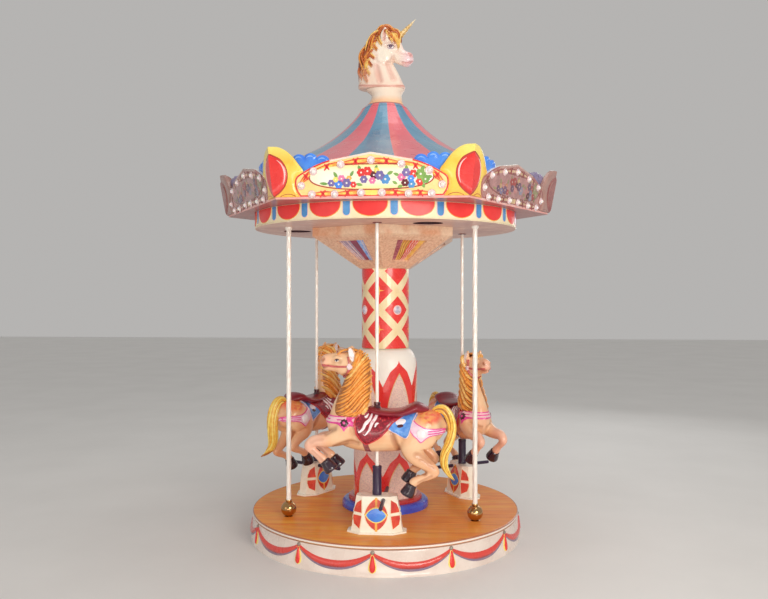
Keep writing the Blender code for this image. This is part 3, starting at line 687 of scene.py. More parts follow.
for k in range(SIDES):
    at = on_drum(30 + 60 * k)
    arches.add(slab(arch(0.52, 0.989, 0.843), at, step=0.022))
    arches.add(slab(arch(0.215, 0.478, 0.345), at, step=0.022))
    for low, apex, half in ((0.585, 0.912, 0.0725), (0.215, 0.412, 0.062)):
        borders.add(slab(opening(low - (0.006 if low > 0.3 else 0), apex + 0.008, half + 0.004), at, lift=0.0013,
                         step=0.022))
        openings.add(slab(opening(low, apex, half), at, lift=0.0018, step=0.022))
arches.piece("drum_arches", RED)
borders.piece("arch_borders", TAN)
openings.piece("arch_openings", SPECKLE)

# %% [markdown]
# The upper column is a cream tube with a lattice: red diamonds leave cream bands that cross. Every
# other row carries a round glass lens on its diamonds, and the rows between carry a small gold star.

# %% Lattice column
COLUMN_RADIUS = 0.135
COLUMN_LOW, COLUMN_HIGH = 1.0535, 1.5045
ROW = 0.2185
BAND = finish("cream band", (95, 83, 52), (90, 70, 38))
dress(BAND, "lattice_column")
diamonds, stars, lens_rims, lenses = Shape(), Shape(), Shape(), Shape()


def clipped_diamond(z, half_wide, half_high):
    """A diamond about height z, cut off at the column's two ends, in (u, v) with v as height."""
    points = []
    for u, v in split_outline([(0, half_high), (half_wide, 0), (0, -half_high), (-half_wide, 0)], 0.02):
        points.append((u, v + z))
    kept = []
    for i, (u, v) in enumerate(points):
        u2, v2 = points[(i + 1) % len(points)]
        inside = COLUMN_LOW <= v <= COLUMN_HIGH
        if inside:
            kept.append((u, v))
        for limit in (COLUMN_LOW, COLUMN_HIGH):
            if (v - limit) * (v2 - limit) < 0:
                t = (limit - v) / (v2 - v)
                kept.append((u + (u2 - u) * t, limit))
    return kept


for k in range(4):
    for first_azimuth, first_z in ((35.0, 1.052), (-10.0, 1.161)):
        at = on_cylinder(COLUMN_RADIUS, first_azimuth + 90 * k)
        for row in range(3):
            z = first_z + ROW * row
            outline = clipped_diamond(z, 0.0755, 0.0775)
            if len(outline) > 2:
                diamonds.add(slab(outline, at, step=0.02, lift=0.001))
            if not COLUMN_LOW + 0.03 < z < COLUMN_HIGH - 0.03:
                continue
            if first_azimuth > 0:
                lens_rims.add(slab(ellipse(0, z, 0.026, 0.027, 24), at, lift=0.002, puff=0.002, roll=0.005, step=0.012))
                lenses.add(slab(ellipse(0, z, 0.021, 0.022, 24), at, lift=0.003, puff=0.008, roll=0.02, step=0.006))
            else:
                star = [(r * sin(pi * i / 4), z + r * cos(pi * i / 4)) for i, r in enumerate([0.03, 0.006] * 4)]
                stars.add(slab(star, at, lift=0.0018, step=0.02))
diamonds.piece("lattice_diamonds", RED)
stars.piece("lattice_stars", ORANGE)
lens_rims.piece("lens_rims", PALE_PINK)
graph = Graph("lens glass")
colour = graph.mottle(70, (78, 70, 80), (45, 45, 58), 0.4, 0.6)
lenses.piece("lenses", graph.coat(colour, roughness=0.08, gloss=1.0))
print("column done")

# %% [markdown]
# The capital is a six-sided upside-down pyramid in gold-flecked paint. Behind its windows lie mirrored
# panels. The bright bands of colour in them, with brown waves and pale glints, are painted
# reflections, and the glints are painted highlights. The CAD's framed skin has the windows cut
# through, so only the flecked finish and these painted bands behind the windows are added.

# %% Capital
graph = Graph("gold flecked paint")
coarse = graph.noise(75, 3.0)
fine_fleck = graph.noise(150, 2.0)
flecked = graph.tint((85, 54, 37), (68, 37, 24), coarse, 0.38, 0.62)
flecked = graph.tint(flecked, (98, 80, 58), fine_fleck, 0.58, 0.68, 0.8)
z = graph.height()
cloud_patch = graph.mottle(7, (82, 36, 17), (97, 78, 56), 0.42, 0.58, 2.0)
flecked = graph.tint(flecked, cloud_patch, z, 1.655, 1.685, 0.55)
dress(graph.coat(flecked, roughness=0.4, gloss=0.2, bump=0.06, height=coarse), "capital_frame")
MIRROR_BACK = finish("dark mirror", (30, 16, 22), (14, 6, 10), roughness=0.1, gloss=1.0)
dress(MIRROR_BACK, "capital_mirrors")
CAPITAL_LOW, CAPITAL_RIM_LOW = 1.5055, 1.667
CAPITAL_FOOT, CAPITAL_HEAD, CAPITAL_WALL = 0.16, 0.426, 0.014
CAPITAL_SLOPE = (CAPITAL_HEAD - CAPITAL_FOOT) / (CAPITAL_RIM_LOW - CAPITAL_LOW)
COS_HALF = cos(radians(30))


def capital_face(azimuth):
    a = radians(azimuth)
    along = Vector((cos(a), sin(a), 0.0))
    out = Vector((sin(a), -cos(a), 0.0))
    up = (out * CAPITAL_SLOPE * COS_HALF + Vector((0, 0, 1))).normalized()
    foot = out * CAPITAL_FOOT * COS_HALF + Vector((0, 0, CAPITAL_LOW))
    return Matrix.Translation(foot) @ Matrix((along, up, along.cross(up))).transposed().to_4x4()


GLASSY = {"roughness": 0.12, "gloss": 1.0}
# The pane colours are painted reflections: bands of colour such as the mirrored panels show
reflection_paints = {
    "lilac": finish("lilac pane", (52, 38, 50), (30, 20, 32), scale=60, **GLASSY),
    "wine": finish("wine pane", (36, 1.2, 8), (20, 0.6, 5), **GLASSY),
    "blue": finish("blue pane", (10, 25, 85), (45, 65, 98), scale=45, **GLASSY),
    "rose": finish("rose pane", (62, 22, 24), (30, 6, 10), scale=60, **GLASSY),
    "gold": finish("gold pane", (95, 62, 16), (80, 36, 10), scale=30, **GLASSY),
    "coral": finish("coral pane", (92, 22, 14), (66, 8, 7), scale=50, **GLASSY)}
WINDOW_REFLECTION_BANDS = ((("lilac", -0.098, -0.014), ("wine", -0.014, 0.034), ("blue", 0.034, 0.098)),
                (("rose", -0.098, -0.048), ("gold", -0.048, 0.0), ("coral", 0.0, 0.055), ("gold", 0.055, 0.098)))
reflection_panes = {name: Shape() for name in reflection_paints}
waves, glint_strokes = Shape(), Shape()
pane_depth = -CAPITAL_WALL + 0.0006
for k in range(SIDES):
    plane = capital_face(-30 + 60 * k)
    place = on_plane(plane @ Matrix.Translation((0, 0, pane_depth)))
    for paint, low, high in WINDOW_REFLECTION_BANDS[k % 2]:
        outline = [(low * 0.45, 0.04), (high * 0.45, 0.04), (high * 1.16, 0.3), (low * 1.16, 0.3)]
        reflection_panes[paint].add(slab(outline, place, lift=0.0006, step=0.05))
    # The brown waves and the pale glints belong to the painted reflections; the glints are painted highlights
    if k % 2:
        for shift in (-0.026, -0.014, -0.002):
            line = [(shift * (0.5 + t * 0.62) * 1.4 + 0.005 * sin(8.0 * t), 0.05 + 0.24 * t) for t in shares(16)]
            waves.add(slab(ribbon(line, 0.0036), place, lift=0.0012, step=0.03))
        for shift in (0.012, 0.03, 0.046):
            line = [(shift * (0.5 + t * 0.6) + 0.006 * (i % 2), 0.06 + 0.23 * t) for i, t in enumerate(shares(10))]
            glint_strokes.add(slab(ribbon(line, 0.003), place, lift=0.0012, step=0.03))
    else:
        for shift, long in ((-0.08, 0.9), (-0.058, 0.7), (-0.036, 1.0), (0.066, 0.95)):
            line = [(shift * (0.5 + t * 0.62), 0.05 + 0.25 * t * long) for t in shares(8)]
            glint_strokes.add(slab(tapered(line, 0.004), place, lift=0.0012, step=0.03))
for name, shape in reflection_panes.items():
    shape.piece(f"window_{name}", reflection_paints[name])
waves.piece("window_waves", finish("brown wave", (45, 16, 4), (32, 10, 3)))
glint_strokes.piece("window_glints", finish("painted pale glint", (90, 78, 82), (95, 60, 48), scale=50, roughness=0.15, gloss=0.9))

# %% [markdown]
# Round the canopy's edge runs a cream band with twenty red scallops and a blue drop between each
# pair. The soffit below is one dull pink-brown sheet. Both are faces of one solid, so its finish
# changes colour with the radius, and inside the lamp wells it is painted near black as painted shade.
# The scallops and drops are slabs with a fine edge. The poles pass through small guide rings.

# %% Canopy band and soffit
graph = Graph("band and soffit")
x, y, z = graph.xyz()
band_out = graph.far(x, y)
side_colour = graph.mottle(12, (98, 90, 64), (95, 82, 50))
under_colour = graph.mottle(5, (80, 50, 40), (60, 33, 29))
under_colour = graph.tint(under_colour, (88, 66, 54), graph.noise(14), 0.52, 0.7, 0.6)
# Inside the lamp wells the soffit is painted near black: painted shade in the recess
under_colour = graph.tint(under_colour, (5.5, 1.2, 2.2), z, 1.7262, 1.7275)
dress(graph.coat(graph.tint(under_colour, side_colour, band_out, 0.74, 0.7412), roughness=0.38, gloss=0.12),
      "canopy_fascia")
SCALLOPS, BAND_TURN = 20, -1.0
SCALLOP_PITCH = 360 // SCALLOPS
SCALLOP_HALF, SCALLOP_TOP, SCALLOP_LOW = 0.0835, 1.8095, 1.7375
scallops, scallop_edges, band_drops, drop_rims = Shape(), Shape(), Shape(), Shape()


def scallop(grow):
    half, straight = SCALLOP_HALF + grow, SCALLOP_TOP - 0.012
    curve = arc(0, straight, half, straight - SCALLOP_LOW + grow, range(0, -181, -12))
    return [(half, SCALLOP_TOP)] + curve + [(-half, SCALLOP_TOP)]


def band_drop(grow):
    half = 0.0175 + grow
    return [(half, SCALLOP_TOP)] + arc(0, 1.758, half, 0.017 + grow, range(0, -181, -20)) + [(-half, SCALLOP_TOP)]


for k in range(SCALLOPS):
    at = on_cylinder(FASCIA_RADIUS, BAND_TURN + SCALLOP_PITCH * k)
    scallop_edges.add(slab(scallop(0.0035), at, lift=0.0008, step=0.03))
    scallops.add(slab(scallop(0.0), at, lift=0.0018, step=0.03))
    at = on_cylinder(FASCIA_RADIUS, BAND_TURN + 9 + SCALLOP_PITCH * k)
    drop_rims.add(slab(band_drop(0.003), at, lift=0.0008, step=0.03))
    band_drops.add(slab(band_drop(0.0), at, lift=0.0018, step=0.03))
scallops.piece("band_scallops", finish("scallop red", (93, 5, 4.5), (85, 3.6, 3.6), roughness=0.38, gloss=0.12))
scallop_edges.piece("band_scallop_edges", ORANGE)
band_drops.piece("band_drops", SKY)
drop_rims.piece("band_drop_edges", PALE_PINK)
lip = Shape().add(lathe(
    mm([(739.5, 1726.2), (743.2, 1726.8), (744.6, 1729), (743.2, 1731.2), (739.5, 1731.8), (739.5, 1726.2)]), 120))
lip.piece("band_lip", CREAM)
guide_rings = Shape()
for k in range(RIDERS):
    guide_rings.add(
        lathe(mm([(10.5, 1721.5), (22.5, 1721.5), (24.5, 1723.5), (24.5, 1725.2), (10.5, 1725.2), (10.5, 1721.5)]), 24),
        Matrix.Translation(ring(HORSE_RING, 120 * k)))
guide_rings.piece("guide_rings", MAROON)
lamps = Shape()
for k in range(RIDERS):
    lamps.add(lathe(mm([(0, 1741.5), (30, 1742.5), (60, 1748), (74, 1754.9), (0, 1754.9)]), 32),
              Matrix.Translation(ring(HORSE_RING, 30 + 120 * k)))
lamps.piece("lamp_lenses", finish("dark lamp glass", (4.5, 1, 2), (2.5, 0.6, 1.4), roughness=0.2, gloss=0.5))
graph = Graph("tray rim and underside")
z = graph.height()
colour = graph.mottle(10, (90, 52, 47), (84, 38, 35))
# Below its pale pink rim the tray's underside is painted dark red: painted shade under the tray
dress(graph.coat(graph.tint((44, 17, 16), colour, z, 1.8119, 1.8123), roughness=0.36, gloss=0.2), "crown_tray")

# %% [markdown]
# Six rounding boards make the crown. A board is a white moulding with a red line, a golden band with
# red-edged bars and scrolls between its thirteen lamps, and an oval picture field in the middle. The
# field here has a flower garland of its own design. The front and back boards are bright. The side
# boards, and the crests between them, get darker, greyer rose copies of the same paints: painted shade.

# %% Rounding boards
BOARD_HALF = mm([(341, 0), (360, 30), (366.5, 65), (358, 95), (323, 119.5), (260, 152), (188, 176), (95, 191),
                 (40, 201), (0, 207.5)])
BULBS = mm([(0, 169), (143.5, 151), (275, 120), (335, 53), (285, 12.5), (176, 12.5), (50, 18)])


def crown_plane(azimuth):
    a = radians(azimuth)
    out = Vector((sin(a), -cos(a), 0.0))
    along = Vector((cos(a), sin(a), 0.0))
    up = out * sin(CROWN_LEAN) + Vector((0, 0, cos(CROWN_LEAN)))
    origin = out * CROWN_APOTHEM + Vector((0, 0, TRAY_TOP + 0.0003))
    return Matrix.Translation(origin) @ Matrix((along, up, along.cross(up))).transposed().to_4x4()


def inset(outline, distance):
    """The outline moved inwards, for outlines that run anticlockwise."""
    moved = []
    count = len(outline)
    area = sum(outline[i][0] * outline[(i + 1) % count][1] - outline[(i + 1) % count][0] * outline[i][1]
               for i in range(count))
    sign = 1.0 if area > 0 else -1.0
    for i, p in enumerate(outline):
        a, b = Vector(outline[i - 1]), Vector(outline[(i + 1) % count])
        n1 = (Vector(p) - a).normalized()
        n2 = (b - Vector(p)).normalized()
        n = Vector((-(n1.y + n2.y), n1.x + n2.x)).normalized() * sign
        bend = max(0.5, sqrt(max(0.0, (1 + n1.dot(n2)) / 2)))
        moved.append((p[0] + n.x * distance / bend, p[1] + n.y * distance / bend))
    return moved


half_top = curved(BOARD_HALF, 4)
whole_board = half_top + [(-x, y) for x, y in reversed(half_top[:-1])]
field = [(0.292 * abs(cos(a)) ** 0.8 * (1 if cos(a) > 0 else -1), 0.0925 + 0.0565 * abs(sin(a)) ** 0.8
          * (1 if sin(a) > 0 else -1)) for a in [2 * pi * k / 48 for k in range(48)]]


def flower(x, y, radius, petals):
    """The outline of a round flower with scalloped petals."""
    turns = [2 * pi * k / (petals * 6) for k in range(petals * 6)]
    reach = [radius * (0.8 + 0.2 * abs(cos(petals * t / 2))) for t in turns]
    return [(x + r * cos(t), y + r * sin(t)) for r, t in zip(reach, turns)]


def leaf(x, y, length, width, tilt):
    c, s = cos(radians(tilt)), sin(radians(tilt))
    side = [(length * t, width * sin(pi * t) ** 0.8) for t in shares(8)]
    points = side + [(px, -py) for px, py in reversed(side[1:-1])]
    return [(x + px * c - py * s, y + px * s + py * c) for px, py in points]


# In millimetres: a garland has its middle and its flowers as (x, y, radius, paint), and a leaf is
# (x, y, length, width, tilt)
GARLANDS = [
    ((-135, 74),
     [(-55, -10, 16, "violet"), (-20, -16, 19, "blue"), (18, -10, 20, "violet"), (50, -18, 14, "red"),
      (-6, 10, 17, "pink"), (-34, 6, 12, "lemon"), (30, 12, 12, "orange")]),
    ((5, 92),
     [(-52, 20, 19, "red"), (-22, 26, 20, "red"), (-40, -12, 17, "violet"), (8, 8, 18, "maroon"), (0, -18, 15, "pink"),
      (36, 6, 21, "violet"), (62, -12, 22, "sky"), (22, 30, 12, "lemon")]),
    ((200, 82),
     [(-56, 6, 18, "pink"), (-34, 28, 19, "violet"), (-40, -20, 17, "maroon"), (-10, -26, 18, "sky"),
      (0, 22, 18, "red"), (-12, 0, 15, "blue"), (30, -14, 18, "red"), (34, 20, 23, "green"), (56, -4, 19, "green")])]
LEAVES = [
    (-205, 60, 42, 7, 175), (-160, 86, 36, 8, 120), (-100, 92, 34, 7, 60), (-75, 60, 36, 7, -12),
    (-50, 118, 30, 8, 110), (20, 122, 26, 7, 70), (75, 102, 32, 8, 25), (100, 70, 28, 7, -30), (135, 96, 32, 7, 160),
    (170, 118, 26, 8, 100), (235, 116, 30, 9, 55), (262, 88, 28, 8, 5), (240, 60, 26, 8, -60), (150, 50, 28, 8, 200)]
scroll_lines = []
for x, y in ((0.072, 0.164), (0.209, 0.14), (0.31, 0.094), (0.113, 0.0165), (0.231, 0.014)):
    scroll_lines.append([(x - 0.012, y + 0.017), (x - 0.001, y + 0.002), (x - 0.01, y - 0.014)])
    scroll_lines.append([(x + 0.012, y + 0.014), (x + 0.003, y), (x + 0.014, y - 0.017)])
# A bar follows the board's edge between two lamps: (middle x, middle y, its slope, its length)
BARS = [(0.072, 0.164, -0.1, 0.112), (0.209, 0.14, -0.26, 0.104), (0.311, 0.092, -0.95, 0.056),
        (0.113, 0.0165, -0.04, 0.098), (0.231, 0.014, 0.0, 0.084)]
GROUND = finish("pale gold ground", (98, 80, 36), (97, 68, 22), scale=22)
graph = Graph("picture field")
fz = graph.height()
rim = graph.calc("ABSOLUTE", graph.calc("SUBTRACT", fz, 1.913))
tint = graph.mottle(9, (98, 96, 90), (98, 92, 70), 0.35, 0.65)
tint = graph.tint(tint, (98, 85, 36), rim, 0.026, 0.054)
# Each part of a board has its bright paint and a darker copy, as painted shade, for a side board
BOARD_PAINTS = [
    ("red_line", RED, (50, 15, 14)), ("pale_edge", finish("pale edge", (98, 84, 72), (94, 72, 60)), (66, 43, 38)),
    ("ground", GROUND, (57, 27, 24)), ("bar_edges", finish("bar red", (86, 12, 4), (70, 6, 3), scale=40), (36, 11, 10)),
    ("bars", ORANGE, (70, 44, 30)), ("lemon_parts", LEMON, (74, 52, 28)), ("scrolls", RED, (38, 10, 9)),
    ("field_line", DARK_RED, (30, 10, 9)), ("field", graph.coat(tint), (53, 27, 26)),
    ("flower_hearts", WHITE, (62, 42, 38)), ("leaves", GREEN, (34, 28, 14)), ("violet", VIOLET, (20, 10, 17)),
    ("blue", BRIGHT_BLUE, (24, 20, 32)), ("red", RED, (44, 7, 6)), ("pink", PINK, (62, 26, 25)),
    ("lemon", LEMON, (66, 42, 20)), ("orange", ORANGE, (56, 22, 10)), ("maroon", MAROON, (14, 3, 4)),
    ("sky", SKY, (32, 30, 40)), ("green", GREEN, (36, 32, 16))]
BRIGHT_BOARD = {name: paint for name, paint, _ in BOARD_PAINTS}
PAINTED_SHADE_BOARD = {
    name: finish(f"dusky {name}", light, tuple(0.72 * v for v in light), scale=30) for name, _, light in BOARD_PAINTS}
top_edge = [(x, y - 0.0055) for x, y in curved(
    [(-0.196, 0.1735), (-0.095, 0.191), (-0.04, 0.201), (0.0, 0.2075), (0.04, 0.201), (0.095, 0.191), (0.196, 0.1735)],
    4)]
for scheme, paints, boards in (("bright", BRIGHT_BOARD, (0, 3)), ("painted_shade", PAINTED_SHADE_BOARD, (1, 2, 4, 5))):
    parts = {name: Shape() for name in paints}
    for k in boards:
        place = on_plane(crown_plane(60 * k))

        def lay(name, outline, lift):
            parts[name].add(slab(outline, place, lift=lift, step=0.05))

        lay("red_line", inset(whole_board, 0.0012), 0.0008)
        lay("ground", inset(whole_board, 0.0085), 0.0016)
        lay("pale_edge", ribbon(top_edge, 0.0085), 0.0022)
        for side in (-1, 1):
            for x, y, slope, long in BARS:
                bar = curved([(side * (x + t * long), y + t * long * slope) for t in (-0.5, -0.25, 0.0, 0.25, 0.5)], 2)
                middle = [sin(pi * min(1.0, 0.18 + 0.82 * i / (len(bar) - 1))) for i in range(len(bar))]
                lay("bar_edges", ribbon(bar, [0.01 + 0.017 * m for m in middle]), 0.0022)
                lay("bars", ribbon(bar, [0.003 + 0.0125 * m for m in middle]), 0.0028)
                lay("lemon_parts", ribbon(bar[2:-2], 0.0055), 0.0033)
            for line in scroll_lines:
                lay("scrolls", swelling(curved([(x * side, y) for x, y in line], 4), 0.004, 0.006), 0.0038)
        lay("lemon_parts", [(-0.024, 0.006), (0.024, 0.006), (0.028, 0.032), (-0.028, 0.032)], 0.0024)
        lay("field_line", inset(field, -0.0062), 0.0026)
        lay("field", field, 0.0034)
        for *sizes, tilt in LEAVES:
            lay("leaves", leaf(*mm([sizes])[0], tilt), 0.0039)
        for middle, flowers in GARLANDS:
            gx, gy = mm([middle])[0]
            for i, (*sizes, paint) in enumerate(flowers):
                x, y, radius = mm([sizes])[0]
                lay(paint, flower(gx + x, gy + y, radius * 1.12, 6), 0.0042 + 0.0004 * (i % 3))
                lay("flower_hearts", ellipse(gx + x, gy + y, radius * 0.24, radius * 0.24, 10), 0.0056)
        if scheme == "painted_shade":
            for n in range(24):
                lay("flower_hearts", ellipse(-0.299 + 0.026 * n, 0.033 - 0.004 * (n % 2), 0.0042, 0.0042, 8), 0.004)
    for name, paint in paints.items():
        parts[name].piece(f"{scheme}_board_{name}", paint)
dress(finish("board white", (95, 92, 86), (90, 84, 74)), *numbered("picture_board", SIDES))

# %% [markdown]
# A crown lamp is a small opal cap in a pale faceted cup. One lathe profile gives the cup and another
# the cap, and both are set out over all six boards as two pieces.

# %% Crown lamps
cup = [(0.0, 0.0022), (0.0195, 0.0022), (0.0195, 0.0046), (0.0165, 0.0078), (0.012, 0.0068), (0.0, 0.006)]
cap = [(0.0, 0.0185), (0.004, 0.018), (0.0075, 0.016), (0.0098, 0.0125), (0.0104, 0.0085), (0.0104, 0.0056),
       (0.0, 0.0056)]
cups, caps = Shape(), Shape()
for k in range(SIDES):
    for x, y in BULBS:
        for side in ((-1, 1) if x else (1,)):
            at = crown_plane(60 * k) @ Matrix.Translation((x * side, y, 0.0008))
            cups.add(lathe(cup, 10), at)
            caps.add(lathe(cap, 16), at)
graph = Graph("lamp cup")
colour = graph.mottle(160, (92, 74, 72), (78, 55, 58), 0.4, 0.6)
cups.piece("lamp_cups", graph.coat(colour, roughness=0.2, gloss=0.8, metallic=0.2), smooth=20)
graph = Graph("opal lamp glass")
graph.shader.inputs["Subsurface Weight"].default_value = 0.3
graph.shader.inputs["Emission Color"].default_value = (1.0, 0.93, 0.9, 1.0)
graph.shader.inputs["Emission Strength"].default_value = 0.08
caps.piece("lamp_caps", graph.coat(graph.mottle(90, (97, 86, 84), (90, 70, 71)), roughness=0.15, gloss=0.7))

# %% [markdown]
# A crest closes each corner. It is a yellow moulding folded round the corner, with a red leaf whose
# spine is the corner itself, and behind it rise blue clouds with three lobes. The crest's flanks
# swell, so each flank gets a padded slab, and the leaf another one over its dark outline. Pale strokes
# on the leaf and on the cloud lobes are painted highlights. The two side corners get darker rose
# copies of these paints as painted shade, like the boards that meet there.

# %% Crests and clouds
def ridge(y):
    """Where the corner lies on a board's plane, as the planes lean outwards."""
    return 0.4622 + 0.0932 * y


CREST_EDGE = mm([(342.5, 2), (361, 30), (367.5, 65), (359.5, 95), (325, 121), (345, 152), (372, 188), (405, 218),
                 (437, 234), (462, 237.5)])
LEAF_EDGE = mm([(463, 6), (440, 24), (417, 52), (404, 85), (403.5, 118), (414, 148), (438, 178), (479.5, 199)])
CLOUD_LOBES = mm([(235, 160, 36), (292, 172, 34), (348, 168, 34)])


def flank(edge, grow=0.0):
    line = curved(edge, 4)
    if grow:
        line = [(x - grow * 0.9, y + grow * (y - 0.1) / 0.1) for x, y in line]
    return [(min(x, ridge(y) - 0.0002), y) for x, y in line]


def closed_on_ridge(line):
    low, high = line[0][1], line[-1][1]
    return line + [(ridge(y), y) for y in [high + (low - high) * t / 6 for t in range(0, 7)]]


def on_corner(matrix):
    """Like on_plane, but a raised surface widens towards the corner, where it meets the next flank's."""
    def place(u, v, h):
        share = max(0.0, 1.0 - (ridge(v) - u) / 0.05)
        return matrix @ Vector((u + max(h, 0.0) * tan(radians(30)) * share, v, h))
    return place


crests, leaf_lines, leaves, shines, clouds, cloud_shines, crest_feet = (Shape() for _ in range(7))
cloud_line = [(0.486, 0.02), (0.486, 0.15), (0.395, 0.15)]
for middle, height, radius in reversed(CLOUD_LOBES):
    cloud_line += arc(middle, height, radius, radius, range(30, 151, 15))
cloud_line += [(0.195, 0.14), (0.23, 0.02)]
for k in range(SIDES):
    for side in (-1, 1):
        # At the two side corners every part takes its second paint, a darker copy that is painted shade
        painted_shade = int((60 * k + 30 * side) % 180 == 90)
        plane = crown_plane(60 * k) @ Matrix.Diagonal((side, 1, 1, 1))
        place = on_corner(plane)
        pad_line, line_line, leaf_line = flank(CREST_EDGE), flank(LEAF_EDGE, 0.0055), flank(LEAF_EDGE)
        crests.add(slab(closed_on_ridge(pad_line), place, lift=0.0012, puff=0.007, roll=0.03, step=0.009, rim=pad_line),
                   slot=painted_shade)
        over = on_plane(plane @ Matrix.Translation((0, 0, 0.0074)))
        leaf_lines.add(
            slab(closed_on_ridge(line_line), place, lift=0.0088, sink=-0.003, step=0.012, rim=line_line), slot=painted_shade)
        leaves.add(slab(closed_on_ridge(leaf_line), place, lift=0.0092, sink=-0.003, puff=0.0052, roll=0.022,
                        step=0.009, rim=leaf_line), slot=painted_shade)
        # The pale pink shines along the leaf are painted highlights
        shine = curved([(0.4145, 0.06), (0.4065, 0.09), (0.4075, 0.125), (0.42, 0.155), (0.442, 0.176)], 5)
        shines.add(slab(swelling(shine, 0.0015, 0.006), on_plane(plane @ Matrix.Translation((0.006, 0, 0.013))),
                        lift=0.001, sink=0.004, step=0.02), slot=painted_shade)
        foot = curved([(0.362, 0.004), (0.385, 0.013), (0.41, 0.013), (0.436, 0.003)], 5)
        crest_feet.add(slab(ribbon(foot, 0.003), over, lift=0.001, sink=0.01, step=0.02), slot=painted_shade)
        clouds.add(slab(cloud_line, on_plane(plane @ Matrix.Translation((0, 0, -0.026))), lift=0.0, sink=0.016,
                        puff=0.01, roll=0.024, step=0.012), slot=painted_shade)
        # The pale blue shines on the cloud lobes are painted highlights
        for middle, height, radius in CLOUD_LOBES:
            line = arc(middle, height, radius * 0.62, radius * 0.62, range(30, 156, 18))
            cloud_shines.add(slab(swelling(line, 0.001, 0.005), on_plane(plane @ Matrix.Translation((0, 0, -0.0165))),
                                  lift=0.0008, sink=0.004, step=0.02), slot=painted_shade)
graph = Graph("crest yellow")
z = graph.height()
colour = graph.mottle(10, (98, 74, 11), (96, 54, 4), 0.35, 0.65)
# Paler yellow towards the top and darker orange towards the foot: painted highlight and painted shade
colour = graph.tint(colour, (98, 88, 24), z, 1.98, 2.05, 0.7)
colour = graph.tint(colour, (95, 42, 4), z, 1.88, 1.83, 0.5)
CREST = graph.coat(colour, gloss=0.7)
PAINTED_SHADE_CREST = finish("dusky crest", (47, 27, 22), (38, 20, 18), scale=24)
PAINTED_SHADE_LEAF = finish("dusky leaf", (40, 15, 13), (30, 10, 10), scale=24)
# The imported side crests are painted in the darker copy too: painted shade
for name in numbered("crest", SIDES):
    low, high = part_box(name)
    dress(PAINTED_SHADE_CREST if abs(low[1] + high[1]) < 0.3 else YELLOW, name)
crests.piece("crest_pads", [CREST, PAINTED_SHADE_CREST])
leaf_lines.piece("crest_leaf_lines", [DARK_RED, PAINTED_SHADE_LEAF])
leaves.piece("crest_leaves", [RED, PAINTED_SHADE_LEAF])
shines.piece("crest_shines", [PALE_PINK, PAINTED_SHADE_CREST])
crest_feet.piece("crest_feet", [DARK_RED, PAINTED_SHADE_LEAF])
PAINTED_SHADE_CLOUD = finish("dusky cloud", (30, 24, 40), (22, 18, 32), scale=24)
cloud_piece = clouds.piece("clouds", [BRIGHT_BLUE, PAINTED_SHADE_CLOUD])
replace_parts(cloud_piece, *numbered("cloud", SIDES))
cloud_shines.piece("cloud_shines", [finish("painted highlight blue", (30, 55, 98), (20, 42, 95)), PAINTED_SHADE_CLOUD])
print("crown done")

# %% [markdown]
# The roof is a tent-shaped shell with eighteen stripes, coral pink and steel blue in turn. The
# stripes are sectors of 20 degrees, so they come from the angle round the axis. A striped collar
# with a dark red line on top and a cream oval neck carry the bust.

# %% Roof
graph = Graph("striped roof")
rx, ry, rz = graph.xyz()
angle = graph.calc("ARCTAN2", rx, graph.calc("MULTIPLY", ry, -1.0))
wave = graph.calc("SINE", graph.calc("MULTIPLY", graph.calc("SUBTRACT", angle, radians(8.5)), 9.0))
pink = graph.mottle(6, (86, 16, 20), (74, 10, 14))
steel = graph.mottle(7, (12, 33, 50), (8, 24, 40))
striped = graph.tint(steel, pink, wave, -0.03, 0.03)
striped = graph.tint(striped, (42, 6, 6), rz, 2.4375, 2.439)
ROOF_PAINT = graph.coat(striped, roughness=0.3, gloss=0.6)
dress(ROOF_PAINT, "roof_shell")
dress(DARK_RED, "roof_wall")
roof_collar = Shape().add(lathe(mm([(0, 2445.5), (104, 2445.5), (109.5, 2444.8), (114, 2441), (134, 2424),
                                    (137.2, 2421.2), (136, 2418.5), (0, 2418.5)]), 72))
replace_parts(roof_collar.piece("roof_collar", ROOF_PAINT), "roof_cap")


def stack(rows, sides=48):
    """Level oval sections as (left, right, half depth, height), closed at both ends."""
    points = [((left + right) / 2 + (right - left) / 2 * cos(2 * pi * k / sides), half * sin(2 * pi * k / sides), z)
              for left, right, half, z in curved(rows, 3) for k in range(sides)]
    return closed(points, sides)


neck = Shape().add(stack(
    mm([(-106, 107, 105, 2446.5), (-101, 104, 101, 2453), (-89, 97, 90, 2469), (-80.5, 95.5, 84, 2488),
        (-79.5, 94, 82, 2500), (-84, 96, 80, 2511), (-96, 103, 78, 2523), (-110, 110, 76, 2533.5),
        (-115, 111.5, 75.5, 2537.8)])))
graph = Graph("neck cream")
z = graph.height()
colour = graph.mottle(10, (98, 86, 72), (95, 78, 62))
colour = graph.tint(colour, (95, 56, 32), z, 2.492, 2.458)
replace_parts(neck.piece("roof_neck", graph.coat(colour, roughness=0.45, gloss=0.1)), "finial_neck")

# %% [markdown]
# The poles are cream tubes with a rope twist. A twisted tube is a lobed outline that turns as it
# climbs. The canopy poles stand in brass balls. The horse poles ride with their horses, and each
# runs through a black rubber sleeve on its pedestal.

# %% Poles
def twisted(low, high, radius, lobes=5, depth=0.075, pitch=0.085, sides=20):
    """A pole with a lobed section that turns as it climbs."""
    rows = int((high - low) / 0.0075)
    points = []
    for i in range(rows + 1):
        z = low + (high - low) * i / rows
        for k in range(sides):
            a = 2 * pi * k / sides
            r = radius * (1 - depth + depth * cos(lobes * (a - 2 * pi * z / (pitch * lobes))))
            points.append((r * cos(a), r * sin(a), z))
    return closed(points, sides)


